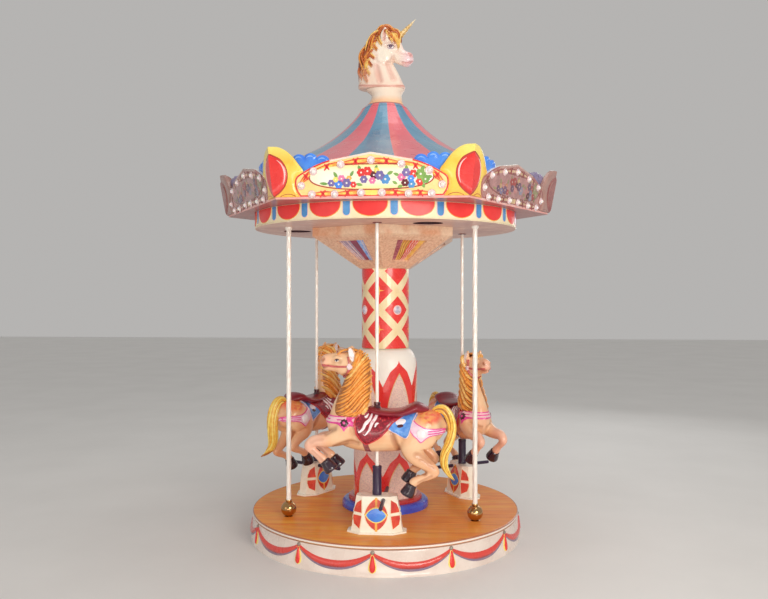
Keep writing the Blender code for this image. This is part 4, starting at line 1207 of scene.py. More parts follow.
graph = Graph("twisted cream pole")
colour = graph.mottle(30, (98, 95, 89), (94, 86, 78))
POLE = graph.coat(colour, metallic=0.12, roughness=0.34, gloss=0.25, bump=0.02)
graph = Graph("brass ball")
BALL = graph.coat(
    graph.mottle(12, (62, 38, 16), (42, 22, 8)), metallic=1.0, roughness=0.12, gloss=0.2, bump=0.01, uneven=0.06)
for k in range(RIDERS):
    place = Matrix.Translation(ring(CANOPY_POLE_RING, 60 + 120 * k))
    rider = Matrix.Translation(ring(HORSE_RING, 120 * k))
    pole = Shape().add(twisted(0.232, 1.712, 0.0135), place)
    pole.add(lathe(mm([(0, 1725), (20, 1725), (20, 1715), (15, 1708.5), (13, 1706), (0, 1706)]), 24), place)
    ball = arc(0, 0.1903, 0.042, 0.042, range(70, -66, -9))
    pole.add(lathe([(0, 0.24), (0.017, 0.24), (0.0185, 0.236), (0.017, 0.231)] + ball
                   + [(0.02, 0.153), (0.0245, 0.1503), (0, 0.1503)], 40), place, 1)
    made = pole.piece(f"pole_{k + 1}", [POLE, BALL], "rotor", 50)
    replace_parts(made, f"canopy_pole_{k + 1}")
    low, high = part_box(f"horse_pole_{k + 1}")
    rod = Shape().add(twisted(low[2], high[2], 0.0095), rider)
    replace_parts(rod.piece(f"riding_pole_{k + 1}", POLE, HORSE_BODIES[k], 50), f"horse_pole_{k + 1}")
    sleeve = Shape().add(lathe(mm([(11.2, 483), (20, 483), (22.8, 481.5), (24, 478.5), (24, 470), (22.8, 468.5),
                                   (22.8, 360), (24, 358), (24, 336.4), (11.2, 336.4), (11.2, 483)]), 32), rider)
    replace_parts(sleeve.piece(f"sleeve_{k + 1}", BLACK), f"pole_sleeve_{k + 1}")
dress(BLACK, *numbered("footrest", RIDERS))

# %% [markdown]
# A pedestal is a white tub with chamfered corners. Its front and back carry a red petal in four
# quarters round a blue eye, and each chamfer carries two half petals. A face of the tub is a quad,
# so the ornament is drawn in shares of its width and height and laid on between its four corners.

# %% Pedestals
def on_quad(low_left, low_right, high_right, high_left, matrix):
    a, b, c, d = (matrix @ Vector(p) for p in (low_left, low_right, high_right, high_left))
    normal = (b - a).cross(d - a).normalized()
    return lambda u, v, h: (a + (b - a) * u) * (1 - v) + (d + (c - d) * u) * v + normal * h


def petal(u, v, half_u, half_v):
    side = [(half_u * sin(pi * t) ** 0.75, v - half_v + 2 * half_v * t) for t in shares(12)]
    return [(u + x, y) for x, y in side] + [(u - x, y) for x, y in reversed(side[1:-1])]


petals, petal_lines, crosses, eyes, eye_lines = (Shape() for _ in range(5))
FOOT_Z, HEAD_Z = 0.158, 0.336
TUB_FOOT = (0.082, 0.131, 0.061, 0.0267)
TUB_HEAD = (0.0705, 0.104, 0.046, 0.02255)
for k in range(RIDERS):
    turn = Matrix.Translation(ring(HORSE_RING, 120 * k)) @ spun(120 * k)
    for back in (0, 1):
        facing = turn @ Matrix.Rotation(pi * back, 4, "Z")
        face = on_quad((-TUB_FOOT[0], -TUB_FOOT[2], FOOT_Z), (TUB_FOOT[0], -TUB_FOOT[2], FOOT_Z),
                       (TUB_HEAD[0], -TUB_HEAD[2], HEAD_Z), (-TUB_HEAD[0], -TUB_HEAD[2], HEAD_Z), facing)
        petal_lines.add(slab(petal(0.5, 0.5, 0.4, 0.475), face, step=0.12))
        petals.add(slab(petal(0.5, 0.5, 0.37, 0.455), face, lift=0.0014, step=0.12))
        crosses.add(slab([(0.462, 0.03), (0.538, 0.03), (0.538, 0.97), (0.462, 0.97)], face, lift=0.0018, step=0.12))
        crosses.add(slab([(0.11, 0.475), (0.89, 0.475), (0.89, 0.525), (0.11, 0.525)], face, lift=0.0018, step=0.12))
        eye = petal(0.0, 0.0, 0.19, 0.33)
        eye_lines.add(slab([(0.5 + y * 1.12, 0.48 + x * 1.16) for x, y in eye], face, lift=0.0022, step=0.12))
        eyes.add(slab([(0.5 + y, 0.48 + x) for x, y in eye], face, lift=0.0028, puff=0.002, roll=0.1, step=0.08))
        for side in (-1, 1):
            corners = [(side * TUB_FOOT[0], -TUB_FOOT[2], FOOT_Z), (side * TUB_FOOT[1], -TUB_FOOT[3], FOOT_Z),
                       (side * TUB_HEAD[1], -TUB_HEAD[3], HEAD_Z), (side * TUB_HEAD[0], -TUB_HEAD[2], HEAD_Z)]
            if side < 0:
                corners = [corners[1], corners[0], corners[3], corners[2]]
            face = on_quad(*corners, facing)
            for v in (0.275, 0.725):
                near, far = (0.08, 0.96) if side > 0 else (0.92, 0.04)
                inner, outer = (0.1, 0.455) if v < 0.5 else (0.9, 0.545)
                wide, high = far - near, outer - inner
                half = [(near, inner), (near + wide * 0.75, inner + high * 0.3), (far, inner + high * 0.75),
                        (far, outer), (near - wide * 0.15, outer)]
                middle = near + wide * 0.42
                petal_lines.add(
                    slab([(middle + (u - middle) * 1.18, v + (w - v) * 1.12) for u, w in half], face, step=0.15))
                petals.add(slab(half, face, lift=0.0014, step=0.15))
petals.piece("tub_petals", finish("petal red", (84, 8.5, 3), (62, 3, 2.5), scale=24))
petal_lines.piece("tub_petal_lines", CREAM)
crosses.piece("tub_crosses", ORANGE)
eye_lines.piece("tub_eye_lines", LEMON)
eyes.piece("tub_eyes", BRIGHT_BLUE)
dress(finish("tub white", (100, 95, 83), (97, 88, 72), gloss=0.3), *numbered("pedestal", RIDERS))

# %% [markdown]
# A horse starts as lofted tubes for its barrel, neck, head and limbs. A fine voxel remesh grows them
# into one skin and smoothing rounds the joints. Then `carve` sinks the creases that the carver cut
# along muscles, mouth and nostrils. It also stores a shade near each crease, where the coat is
# darkened as painted shade. A stroke is drawn in the side view, and works on one flank or on both.

# %% Growing and carving
def limb(stations, sides=24, steps=4):
    """A closed tube through (x, y, z, half width, half depth) stations, smoothed along its length."""
    rows = curved(stations, steps)
    centres = [Vector(row[:3]) for row in rows]
    points = []
    for i, centre in enumerate(centres):
        way = heading(centres, i)
        side = LEFT - way * way.y
        side.normalize()
        up = way.cross(side)
        wide, deep = rows[i][3], rows[i][4]
        for k in range(sides):
            a = 2 * pi * k / sides
            points.append(centre + side * wide * cos(a) + up * deep * sin(a))
    faces = quads(len(points), sides)
    for first, end, before in ((0, 0, 1), (len(points) - sides, -1, -2)):
        ahead = centres[end] - centres[before]
        points.append(centres[end] + ahead.normalized() * rows[end][4] * 0.5)
        faces += [(first + k, first + (k + 1) % sides, len(points) - 1) for k in range(sides)]
    return points, faces


def grown(name, tubes, voxel, rounds):
    """One skin over all the tubes."""
    skin = bpy.data.objects.new(name, tubes.mesh(name))
    bpy.context.scene.collection.objects.link(skin)
    remesh = skin.modifiers.new("one skin", "REMESH")
    remesh.mode = "VOXEL"
    remesh.voxel_size = voxel
    soften = skin.modifiers.new("soften", "SMOOTH")
    soften.factor = 0.5
    soften.iterations = rounds
    mesh = bpy.data.meshes.new_from_object(skin.evaluated_get(bpy.context.evaluated_depsgraph_get()))
    bpy.data.objects.remove(skin)
    mesh.materials.clear()
    mesh.shade_smooth()
    return mesh


def carve(mesh, strokes):
    """Sinks (or with a negative depth raises) the skin along strokes, and stores their shade."""
    count = len(mesh.vertices)
    flat = np.empty(count * 3)
    mesh.vertices.foreach_get("co", flat)
    spots = flat.reshape(-1, 3)
    flat = np.empty(count * 3)
    mesh.vertices.foreach_get("normal", flat)
    normals = flat.reshape(-1, 3)
    shade = np.zeros(count)
    sunk = np.zeros(count)
    for line, width, depth, dark, side in strokes:
        line, width, depth = mm(line), width / 1000, depth / 1000
        line = np.array(curved(line, 4) if len(line) > 2 else line)
        facing = normals[:, 1] * (np.sign(spots[:, 1]) if side == 0 else side) > 0.15
        best = np.full(count, 9.0)
        for a, b in zip(line, line[1:]):
            along = b - a
            t = np.clip(((spots[:, [0, 2]] - a) @ along) / max(along @ along, 1e-12), 0, 1)
            best = np.minimum(best, np.linalg.norm(spots[:, [0, 2]] - a - t[:, None] * along, axis=1))
        fall = np.clip(1 - (best / width) ** 2, 0, 1) ** 2 * facing
        sunk += depth * fall
        shade = np.maximum(shade, dark * np.clip(1 - (best / (width * 1.6)) ** 2, 0, 1) * facing)
    spots = spots - normals * sunk[:, None]
    mesh.vertices.foreach_set("co", spots.ravel())
    mesh.attributes.new("shade", "FLOAT", "POINT").data.foreach_set("value", shade)
    mesh.update()
    return mesh


def tree_of(mesh):
    return BVHTree.FromPolygons([v.co for v in mesh.vertices], [tuple(p.vertices) for p in mesh.polygons])


def on_flank(tree, side):
    """u is x, v is z, seen from one side (+1 is the left), laid on the skin."""
    def place(u, v, h):
        hit, normal, _, _ = tree.ray_cast(Vector((u, side * 0.4, v)), Vector((0, -side, 0)))
        if hit is None:
            hit, normal, _, _ = tree.find_nearest(Vector((u, side * 0.03, v)))
        return hit + normal * h
    return place


TIP_FROM = 0.68


def strand(points, thick, sides=8, flat=0.7):
    """A lock of hair: a tube that swells and then runs out to a tip."""
    line = curved([tuple(p) for p in points], 4)
    last = len(line) - 1
    radii = []
    for i in range(last + 1):
        if i < last * TIP_FROM:
            share = 0.35 + 0.65 * sin(pi * min(1.0, (i / last) * 1.25 + 0.12)) ** 0.6
        else:
            share = 0.02 + 0.98 * (1 - (i / last - TIP_FROM) / (1 - TIP_FROM)) ** 0.7
        radii.append(thick * share)
    return tube(line, radii, sides, flat)


# %% [markdown]
# The horse gallops: forelegs bent under the chest, hind legs pushed back. All stations are in the
# horse's own frame, with x forward, y to its left, z up and the pole on the z axis. The three horses
# are placed copies of the same meshes, as they came from one mould. Its coat is airbrushed pinker at
# the nose, with a red and orange flame on the croup, and it is darkened in every crease and lower
# down on the belly and legs as painted shade.

# %% Horse body
BARREL = mm([
    (-338, 0, 690, 30, 40), (-312, 0, 690, 68, 72), (-250, 0, 690, 89, 88), (-150, 0, 664, 84, 96),
    (-50, 0, 654, 83, 97), (50, 0, 658, 86, 102), (130, 0, 676, 84, 102), (195, 0, 696, 70, 86), (235, 0, 706, 44, 56)])
NECK = mm([(136, 0, 650, 58, 88), (138, 0, 700, 76, 110), (126, 0, 770, 64, 104), (112, 0, 840, 51, 86),
           (97, 0, 910, 44, 71), (90, 0, 980, 42, 60), (94, 0, 1035, 38, 47)])
HEAD = mm([(88, 0, 1024, 36, 42), (118, 0, 1008, 43, 62), (155, 0, 1000, 44, 66), (198, 0, 1008, 35, 52),
           (236, 0, 1010, 29, 46), (262, 0, 1009, 30, 43), (278, 0, 1008, 24, 36)])
NOSE = mm([(262, 14, 1030, 14, 15), (280, 13, 1024, 11, 13)])
BROW = mm([(184, 29, 1030, 10, 9), (204, 29, 1037, 10, 10), (222, 24, 1031, 8, 8)])
EAR = mm([(110, 32, 1008, 14, 20), (118, 41, 1036, 15, 23), (128, 44, 1064, 12, 19), (138, 42, 1092, 4.5, 6)])
FORELEG = mm([
    (120, 50, 715, 38, 66), (150, 56, 670, 42, 60), (190, 60, 638, 36, 47), (255, 66, 620, 29, 34),
    (312, 68, 617, 26, 29), (339, 68, 594, 24, 26), (328, 67, 576, 19, 23), (305, 67, 556, 17, 20),
    (284, 66, 538, 19, 22), (271, 66, 526, 22, 25), (260, 66, 517, 20, 22)])
HINDLEG = mm([
    (-262, 40, 712, 50, 70), (-225, 52, 660, 52, 86), (-190, 58, 600, 48, 72), (-196, 61, 555, 38, 52),
    (-240, 62, 515, 29, 36), (-288, 62, 479, 23, 28), (-296, 62, 464, 20, 22), (-266, 62, 450, 18, 22),
    (-226, 62, 434, 17, 19), (-194, 62, 418, 20, 23), (-182, 62, 404, 20, 21)])
FORE_HOOF = mm(((258, 66, 515), (228, 66, 478)))
HIND_HOOF = mm(((-179, 62, 402), (-158, 62, 360)))
FAR_FORELEG_SHIFT = Vector((-0.022, 0, -0.006))
FAR_HINDLEG_SHIFT = Vector((0.004, 0, 0.04))


def other_side(stations, shift=Vector((0, 0, 0)), settle=1):
    """The same limb on the right, shifted more and more up to the settled station."""
    return [(*(Vector((x, -y, z)) + shift * min(1.0, i / settle)), *size)
            for i, (x, y, z, *size) in enumerate(stations)]


tubes = Shape()
for stations in (BARREL, NECK, HEAD, NOSE, other_side(NOSE), BROW, other_side(BROW), EAR, other_side(EAR), FORELEG,
                 HINDLEG, other_side(FORELEG, FAR_FORELEG_SHIFT, 4), other_side(HINDLEG, FAR_HINDLEG_SHIFT, 4)):
    tubes.add(limb(stations))
body_mesh = grown("horse_body", tubes, 0.0046, 5)
# A stroke is (line in x and z, width, depth, shade, side: 0 both, 1 left, -1 right), in millimetres
CREASES = [
    ([(290, 988), (272, 985), (252, 992)], 6, 3, 1.0, 0), ([(272, 1028), (277, 1022)], 7.5, 6, 1.0, 0),
    ([(168, 944), (140, 962), (130, 990), (138, 1016)], 10, 3.5, 0.5, 0),
    ([(206, 990), (238, 994), (262, 992)], 8, 2, 0.35, 0), ([(188, 1015), (203, 1021), (218, 1015)], 12, 4, 0.5, 0),
    ([(116, 1030), (123, 1050), (132, 1078)], 8.5, 5, 0.7, 0),
    ([(98, 760), (122, 722), (116, 672), (88, 632)], 16, 5, 0.35, 0),
    ([(90, 610), (130, 618), (175, 604), (205, 592)], 12, 4.5, 0.75, 1),
    ([(80, 612), (110, 626), (145, 620)], 12, 4.5, 0.75, -1), ([(205, 680), (228, 668), (250, 655)], 10, 3.5, 0.5, 0),
    ([(-80, 668), (-90, 640), (-105, 598), (-129, 545), (-156, 512), (-190, 486), (-245, 466)], 13, 6, 0.9, 1),
    ([(-80, 668), (-95, 640), (-110, 600), (-133, 565), (-165, 545)], 13, 5.5, 0.8, -1),
    ([(-205, 560), (-240, 548), (-276, 520)], 14, 3.5, 0.55, 1),
    ([(-225, 536), (-262, 512), (-290, 490)], 8, 3, 0.6, 1), ([(-280, 452), (-245, 434), (-215, 418)], 6, 2, 0.5, 1),
    ([(268, 628), (300, 626), (325, 612)], 8, 2, 0.35, 1), ([(318, 570), (290, 543), (268, 523)], 6, 2, 0.5, 1),
    ([(-312, 660), (-330, 690), (-318, 724)], 16, 3, 0.5, 0)]
carve(body_mesh, CREASES)
skin = tree_of(body_mesh)
print("horse body", len(body_mesh.vertices), "points")

graph = Graph("airbrushed horse")
hx, _, hz = graph.xyz()
cloudy = graph.noise(9, 3.0)
colour = graph.tint((94, 61, 36), (90, 48, 25), cloudy, 0.38, 0.66)
# Lower down, on the belly and legs, the coat is darker: painted shade
colour = graph.tint(colour, (86, 42, 24), hz, 0.6, 0.54, 0.35)
colour = graph.tint(colour, (92, 50, 42), hx, 0.225, 0.29, 0.55)
# The carved creases are darkened: painted shade
shade = graph.carved()
colour = graph.mix(graph.calc("MULTIPLY", shade, 0.8), colour, (36, 10, 3.5))
# A flame is airbrushed on the croup, red towards the tail
FLAME_X, FLAME_Z, FLAME_LONG, FLAME_HIGH = -0.272, 0.752, 0.074, 0.05
ahead, above = (graph.calc("DIVIDE", graph.calc("SUBTRACT", axis, middle), half)
                for axis, middle, half in ((hx, FLAME_X, FLAME_LONG), (hz, FLAME_Z, FLAME_HIGH)))
flame_far = graph.far(ahead, above)
flame = graph.mottle(42, (93, 40, 10), (84, 15, 6), 0.42, 0.58, 2.0)
flame = graph.tint(flame, (80, 6, 4.5), hx, -0.255, -0.315, 0.7)
colour = graph.tint(colour, flame, flame_far, 1.05, 0.6, 0.9)
HORSE_COAT = graph.coat(colour, roughness=0.34, gloss=0.35, bump=0.02)

# %% [markdown]
# The mane is a hand-carved mass: a swollen brown pad over the neck's side, and on it long locks that
# sweep from the crest down and forwards, each with its own bow. The forelock runs on between the
# ears. The tail is a core with locks wound round it, and the left horse's blows outwards. Two shades
# alternate, as if picked out by hand, over a deep brown pad and core that are painted shade between
# the locks.

# %% Mane and tail
random.seed(7)
GOLD_HAIR = finish("golden hair", (97, 45, 8.5), (84, 29, 4), scale=60, roughness=0.3, gloss=0.6)
PALE_HAIR = finish("pale gold hair", (97, 68, 24), (90, 48, 11), scale=60, roughness=0.3, gloss=0.6)
SHADE_HAIR = finish("shade brown hair", (52, 19, 3), (34, 10, 1.5), scale=60, roughness=0.35, gloss=0.4)
YELLOW_HAIR = finish("yellow hair", (94, 60, 8), (80, 38, 3), scale=50, roughness=0.3, gloss=0.6)
BRIGHT_HAIR = finish("bright yellow hair", (98, 82, 22), (94, 62, 10), scale=50, roughness=0.3, gloss=0.6)
CREST_LINE = mm([(92, 1070), (76, 1066), (58, 1052), (44, 1028), (37, 996), (34, 960), (33, 924), (34, 888), (36, 852),
                 (40, 816), (50, 782)])
MANE_EDGE = mm([(128, 994), (144, 958), (164, 922), (179, 888), (192, 852), (203, 816), (210, 778), (202, 750),
                (172, 740), (120, 739), (78, 750)])


def on_line(line, share):
    """The point at a share of a polyline's corners, not of its length."""
    spot = share * (len(line) - 1)
    i = min(int(spot), len(line) - 2)
    return Vector(line[i]).lerp(Vector(line[i + 1]), spot - i)


mane = Shape()
LOCKS = 10
for side in (1, -1):
    flank_place = on_flank(skin, side)
    pad = curved(CREST_LINE, 2) + curved(MANE_EDGE, 2)[::-1]
    # The pad takes the deep brown paint: painted shade between the locks
    mane.add(slab(pad, flank_place, lift=0.002, sink=0.004, step=0.016, puff=0.005, roll=0.02), slot=2)
    for i in range(LOCKS * 2 - 1):
        share = i / (LOCKS * 2 - 2)
        upper = i % 2
        start = on_line(CREST_LINE, share)
        end = on_line(MANE_EDGE, min(1.0, share + random.uniform(-0.012, 0.012)))
        way = end - start
        across = Vector((-way.y, way.x)).normalized()
        length = way.length
        line = []
        for t in shares(8):
            bow = sin(pi * t) * length * -0.05 + sin(2 * pi * t) * length * 0.035
            spot = start + way * t + across * (bow + 0.0015 * sin(5 * t + i))
            line.append(flank_place(spot.x, spot.y, (0.0035 if upper else 0.006) + 0.003 * sin(pi * t)))
        line[0] = Vector((start.x - 0.002, side * 0.006, start.y))
        mane.add(strand(line, 0.0075 if upper else random.uniform(0.0125, 0.0145), 10),
                 slot=0 if upper else random.choice((0, 1)))
for i in range(7):
    side = (i - 3) / 3
    path = [(0.088, side * 0.012, 1.066), (0.12, side * 0.02, 1.074), (0.155, side * 0.024, 1.076),
            (0.186, side * 0.022, 1.066), (0.204, side * 0.016, 1.048)]
    mane.add(strand(path, 0.0095, 8), slot=i % 2)


def tail_of(stations, locks):
    """A tail along (x, y, z, radius) stations: a core with locks wound round it."""
    core = curved(stations, 4)
    # The core takes the deep brown paint: painted shade between the locks
    made = Shape().add(tube([c[:3] for c in core], [c[3] * 0.8 for c in core], 14), slot=2)
    for i in range(locks):
        line, radii = [], []
        for n, (x, y, z, r) in enumerate(core):
            t = n / (len(core) - 1)
            a = 2 * pi * i / locks + 1.5 * t + 0.35 * sin(6 * t + i)
            up = heading(core, n).cross(LEFT).normalized()
            spread = r * 0.74
            line.append(Vector((x, y, z)) + LEFT * spread * cos(a) + up * spread * sin(a))
            radii.append(max(0.0008, r * 3.4 / locks))
        cut = len(line) - random.choice((0, 1, 3))
        radii = radii[:cut - 3] + [r * s for r, s in zip(radii[cut - 3:cut], (0.8, 0.5, 0.12))]
        made.add(tube(line[:cut], radii, 7), slot=i % 2)
    return made


TAIL = mm([
    (-280, 0, 760, 11), (-306, 0, 774, 19), (-338, 0, 774, 23), (-368, 0, 738, 23), (-382, 0, 676, 22),
    (-368, 0, 604, 23), (-344, 0, 546, 22), (-342, 0, 492, 19), (-364, 0, 447, 12), (-394, 0, 414, 3)])
# The left horse's tail blows out to its left and is broader
BLOWN_TAIL = mm([
    (-280, 0, 760, 13), (-306, 4, 774, 23), (-334, 12, 768, 29), (-358, 20, 728, 32), (-366, 26, 668, 33),
    (-364, 28, 604, 33), (-352, 34, 546, 30), (-350, 50, 500, 24), (-362, 74, 468, 15), (-384, 100, 446, 3)])
tail, blown_tail = tail_of(TAIL, 11), tail_of(BLOWN_TAIL, 13)

# %% [markdown]
# Hooves are turned blocks set along the limb's own line, with a coronet where the hair would end.

# %% Hooves and eyes
def pointing(foot, tip):
    """Places a part that stands on z at the foot, leaning towards the tip."""
    return Matrix.Translation(foot) @ (tip - foot).to_track_quat("Z", "Y").to_matrix().to_4x4()


def hoof(top, sole):
    top, sole = Vector(top), Vector(sole)
    long = (sole - top).length
    profile = [(0.0, -0.006), (0.02, -0.006), (0.0265, -0.001), (0.028, 0.005), (0.0275, 0.01), (0.0305, 0.018),
               (0.0355, long - 0.006), (0.0365, long + 0.003), (0.0345, long + 0.009), (0.029, long + 0.012),
               (0.0, long + 0.012)]
    points, faces = lathe(profile, 28)
    return [pointing(top, sole) @ Vector(p) for p in points], faces


hooves = Shape()
for (top, sole), shift in ((FORE_HOOF, FAR_FORELEG_SHIFT), (HIND_HOOF, FAR_HINDLEG_SHIFT)):
    hooves.add(hoof(top, sole))
    hooves.add(hoof(Vector((top[0], -top[1], top[2])) + shift, Vector((sole[0], -sole[1], sole[2])) + shift))
HOOF = finish("hoof black", (3.6, 1.2, 2.6), (2, 0.7, 1.6), roughness=0.2, gloss=0.6)
eyes = Shape()
for side in (1, -1):
    flank_place = on_flank(skin, side)
    eyes.add(slab(ellipse(0.203, 1.0205, 0.0105, 0.006, 20, tilt=-8), flank_place, lift=0.0012, puff=0.002, roll=0.006,
                  step=0.005), slot=1)
    eyes.add(slab(ellipse(0.2035, 1.0208, 0.0058, 0.0058, 16), flank_place, lift=0.0034, puff=0.0026, roll=0.006,
                  step=0.004), slot=0)
    lid = ellipse(0.203, 1.02, 0.012, 0.008, 12, start=10, end=170, tilt=-8)
    eyes.add(slab(swelling(lid, 0.001, 0.002), flank_place, lift=0.0036, step=0.006), slot=0)
DARK_EYE = finish("dark eye", (7.5, 5, 8.5), (4.5, 3, 5.5), roughness=0.08, gloss=1.0)

# %% [markdown]
# The saddle is moulded with a raised cantle and a boss round the pole, and its flap hangs down each
# flank with a raised rim, small leaves and a few white strokes. Behind it lies a blue blanket, and
# straps with rosettes run round the breast and the croup. All of it is laid on the skin from the side
# view, except for the band across the breast, which is laid on from the front.

# %% Saddle and straps
SADDLE = mm([
    (78, 0, 769, 18, 10), (48, 0, 775, 40, 20), (12, 0, 764, 62, 19), (-50, 0, 756, 80, 20), (-120, 0, 758, 86, 21),
    (-165, 0, 771, 86, 25), (-200, 0, 784, 80, 28), (-235, 0, 777, 60, 23), (-262, 0, 768, 30, 14)])
seat_mesh = grown("saddle", Shape().add(limb(SADDLE, 32)), 0.004, 4)
FLAP = mm([
    (62, 778), (84, 750), (104, 722), (106, 700), (99, 672), (83, 645), (52, 610), (16, 622), (-20, 642), (-56, 674),
    (-78, 704), (-112, 728), (-150, 748), (-205, 768), (-150, 775), (-50, 774), (20, 780)])
BLANKET = mm([(-40, 692), (-66, 680), (-110, 660), (-158, 640), (-172, 676), (-190, 724), (-212, 768), (-150, 772),
              (-100, 740), (-60, 715)])
STRAP = mm([(262, 742), (215, 742), (150, 738), (85, 734), (85, 694), (130, 697), (150, 683), (157, 670), (166, 683),
            (185, 700), (215, 704), (262, 706)])
CRUPPER = mm([(-180, 732), (-205, 716), (-232, 701), (-256, 692), (-300, 688), (-346, 682), (-346, 656), (-300, 654),
              (-270, 650), (-245, 634), (-226, 620), (-206, 640), (-176, 672)])
SCROLLS = [
    ([(22, 744), (32, 722), (52, 704), (62, 684), (82, 668), (88, 682)], 8.5),
    ([(-16, 742), (-6, 752), (2, 730), (20, 706), (30, 680), (50, 656), (62, 660)], 8.5),
    ([(40, 746), (50, 734), (60, 736)], 6), ([(4, 690), (-4, 704), (-16, 706)], 6)]
tack = Shape()
SADDLE_RED, BRIGHT_TRIM, BLUE_CLOTH, MAGENTA, PALE, DARK, LILAC, GIRTH, ROSE, SEAT, BRIDLE, ROSETTE = range(12)
CRUPPER_BOSS, BREAST_BOSS, CHEEK = (-0.231, 0.667), (0.1555, 0.711), (0.134, 0.9915)
for side in (1, -1):
    at = on_flank(skin, side)

    def lay(outline, slot, lift, step=0.01, **more):
        tack.add(slab(outline, at, lift=lift, step=step, **more), slot=slot)

    lay(curved(BLANKET, 2, True), BLUE_CLOTH, 0.003, 0.012, sink=0.003, puff=0.003, roll=0.01)
    lay(band([(-0.212, 0.766), (-0.188, 0.722), (-0.158, 0.642), (-0.1, 0.664), (-0.05, 0.688)], 0.0028), PALE, 0.007,
        0.014)
    # The white oval on the blanket is a painted highlight, and the dark oval below it is painted shade
    lay(ellipse(-0.126, 0.716, 0.027, 0.013, 20, tilt=-14), ROSETTE, 0.0062, puff=0.002, roll=0.01)
    lay(ellipse(-0.124, 0.698, 0.017, 0.0075, 16, tilt=-10), DARK, 0.0068, 0.009, puff=0.002, roll=0.008)
    crupper = curved(CRUPPER, 2, True)
    lay(crupper, MAGENTA, 0.0028, 0.014, sink=0.003, puff=0.0015, roll=0.008)
    lay(inset(crupper, 0.0048), LILAC, 0.005, 0.014, puff=0.001, roll=0.008)
    for z in (0.664, 0.676):
        lay(ribbon([(-0.262, z), (-0.3, z + 0.002), (-0.342, z + 0.001)], 0.005), MAGENTA, 0.0066, 0.012)
    lay(ellipse(*CRUPPER_BOSS, 0.0235, 0.0235, 24), ROSETTE, 0.0085, 0.008, puff=0.008, roll=0.02)
    lay(ellipse(*CRUPPER_BOSS, 0.01, 0.01, 16), ROSETTE, 0.016, 0.006, puff=0.003, roll=0.008)
    lay(curved(STRAP, 2, True), MAGENTA, 0.003, 0.012, sink=0.003, puff=0.003, roll=0.012)
    # The pale pink leaves along the breast strap are painted highlights
    for x, long in ((0.232, 0.04), (0.122, 0.03)):
        lay(leaf(x, 0.722, long, 0.0085, 180), ROSE, 0.0066, puff=0.001, roll=0.004)
    lay(flower(*BREAST_BOSS, 0.02, 8), DARK, 0.0062, 0.007, puff=0.006, roll=0.015)
    lay(ellipse(*BREAST_BOSS, 0.0065, 0.0065, 14), MAGENTA, 0.0125, 0.005, puff=0.002, roll=0.005)
    lay(ribbon([(0.056, 0.624), (0.05, 0.596), (0.044, 0.572), (0.038, 0.556)], 0.026), GIRTH, 0.0025, 0.014,
        sink=0.003)
    lay(curved(FLAP, 2, True), SADDLE_RED, 0.0065, sink=0.002, puff=0.006, roll=0.018)
    lay(ribbon(curved(FLAP[1:14], 3), 0.006), BRIGHT_TRIM, 0.01, sink=0.006, puff=0.003, roll=0.003)
    for n in range(26):
        x = -0.15 + 0.245 * ((n * 0.618) % 1.0)
        z = 0.64 + 0.118 * ((n * 0.381 + 0.2) % 1.0)
        far, inside = to_edge((x, z), FLAP)
        if inside and far > 0.013 and not (-0.02 < x < 0.09 and z > 0.65):
            slot = ROSE if n % 3 == 0 else BRIGHT_TRIM
            lay(leaf(x, z, 0.015, 0.0042, 67 * n), slot, 0.012, 0.007, sink=0.004, puff=0.002, roll=0.004)
    for line, wide in SCROLLS:
        line, wide = mm(line), wide / 1000
        lay(tapered(line, wide * 1.75), ROSE, 0.0124, 0.009, sink=0.006, puff=0.002, roll=0.005)
        lay(tapered(line, wide * 1.2), ROSETTE, 0.014, 0.009, sink=0.006, puff=0.003, roll=0.005)
    lay(flower(0.1345, 0.9915, 0.015, 7), PALE, 0.0105, 0.006, puff=0.004, roll=0.01)
    lay(band([CHEEK, (0.17, 0.99), (0.215, 0.99), (0.258, 0.995), (0.282, 0.997)], 0.01), BRIDLE, 0.0028, sink=0.002)
    lay(band([CHEEK, (0.148, 0.962), (0.168, 0.934)], 0.0095), BRIDLE, 0.01, sink=0.004)
    lay(band([CHEEK, (0.14, 1.014), (0.142, 1.04)], 0.008), BRIDLE, 0.006, sink=0.004)
    # The white oval on each ear is a painted highlight
    lay(ellipse(0.124, 1.05, 0.0125, 0.036, 20, tilt=-16), ROSETTE, 0.0016, puff=0.001, roll=0.006)


def round_chest(u, v, h):
    """u is the arc from the middle of the breast, v is z, laid on the skin from the front."""
    way = Vector((cos(u / 0.11), sin(u / 0.11), 0.0))
    hit, normal, _, _ = skin.ray_cast(Vector((0.13, 0, v)) + way * 0.4, -way)
    return hit + normal * h


# The band across the breast is magenta with two pale pink stripes, which are painted highlights
for low, high, slot, lift in (
        (0.704, 0.743, MAGENTA, 0.0035), (0.712, 0.721, ROSE, 0.0066), (0.727, 0.737, ROSE, 0.0066)):
    tack.add(slab([(-0.15, low), (0.15, low), (0.15, high), (-0.15, high)], round_chest, lift=lift, sink=0.003,
                  step=0.014), slot=slot)
boss = lathe(mm([(10.8, 808), (15, 808), (17.2, 805.5), (17.2, 796), (15, 793), (16.5, 788), (21.5, 778), (30, 770),
                 (10.8, 770), (10.8, 808)]), 32)
tack.add(boss, slot=DARK)
graph = Graph("saddle maroon")
mottled = graph.noise(95, 3.0)
colour = graph.tint((24, 0.7, 2), (46, 1.5, 4), mottled, 0.5, 0.62)
SADDLE_PAINT = graph.coat(colour, roughness=0.26, gloss=0.55, bump=0.1, height=mottled)
SEAT_RED = finish("seat maroon", (30, 1, 2.6), (20, 0.6, 1.6), roughness=0.34, gloss=0.3)
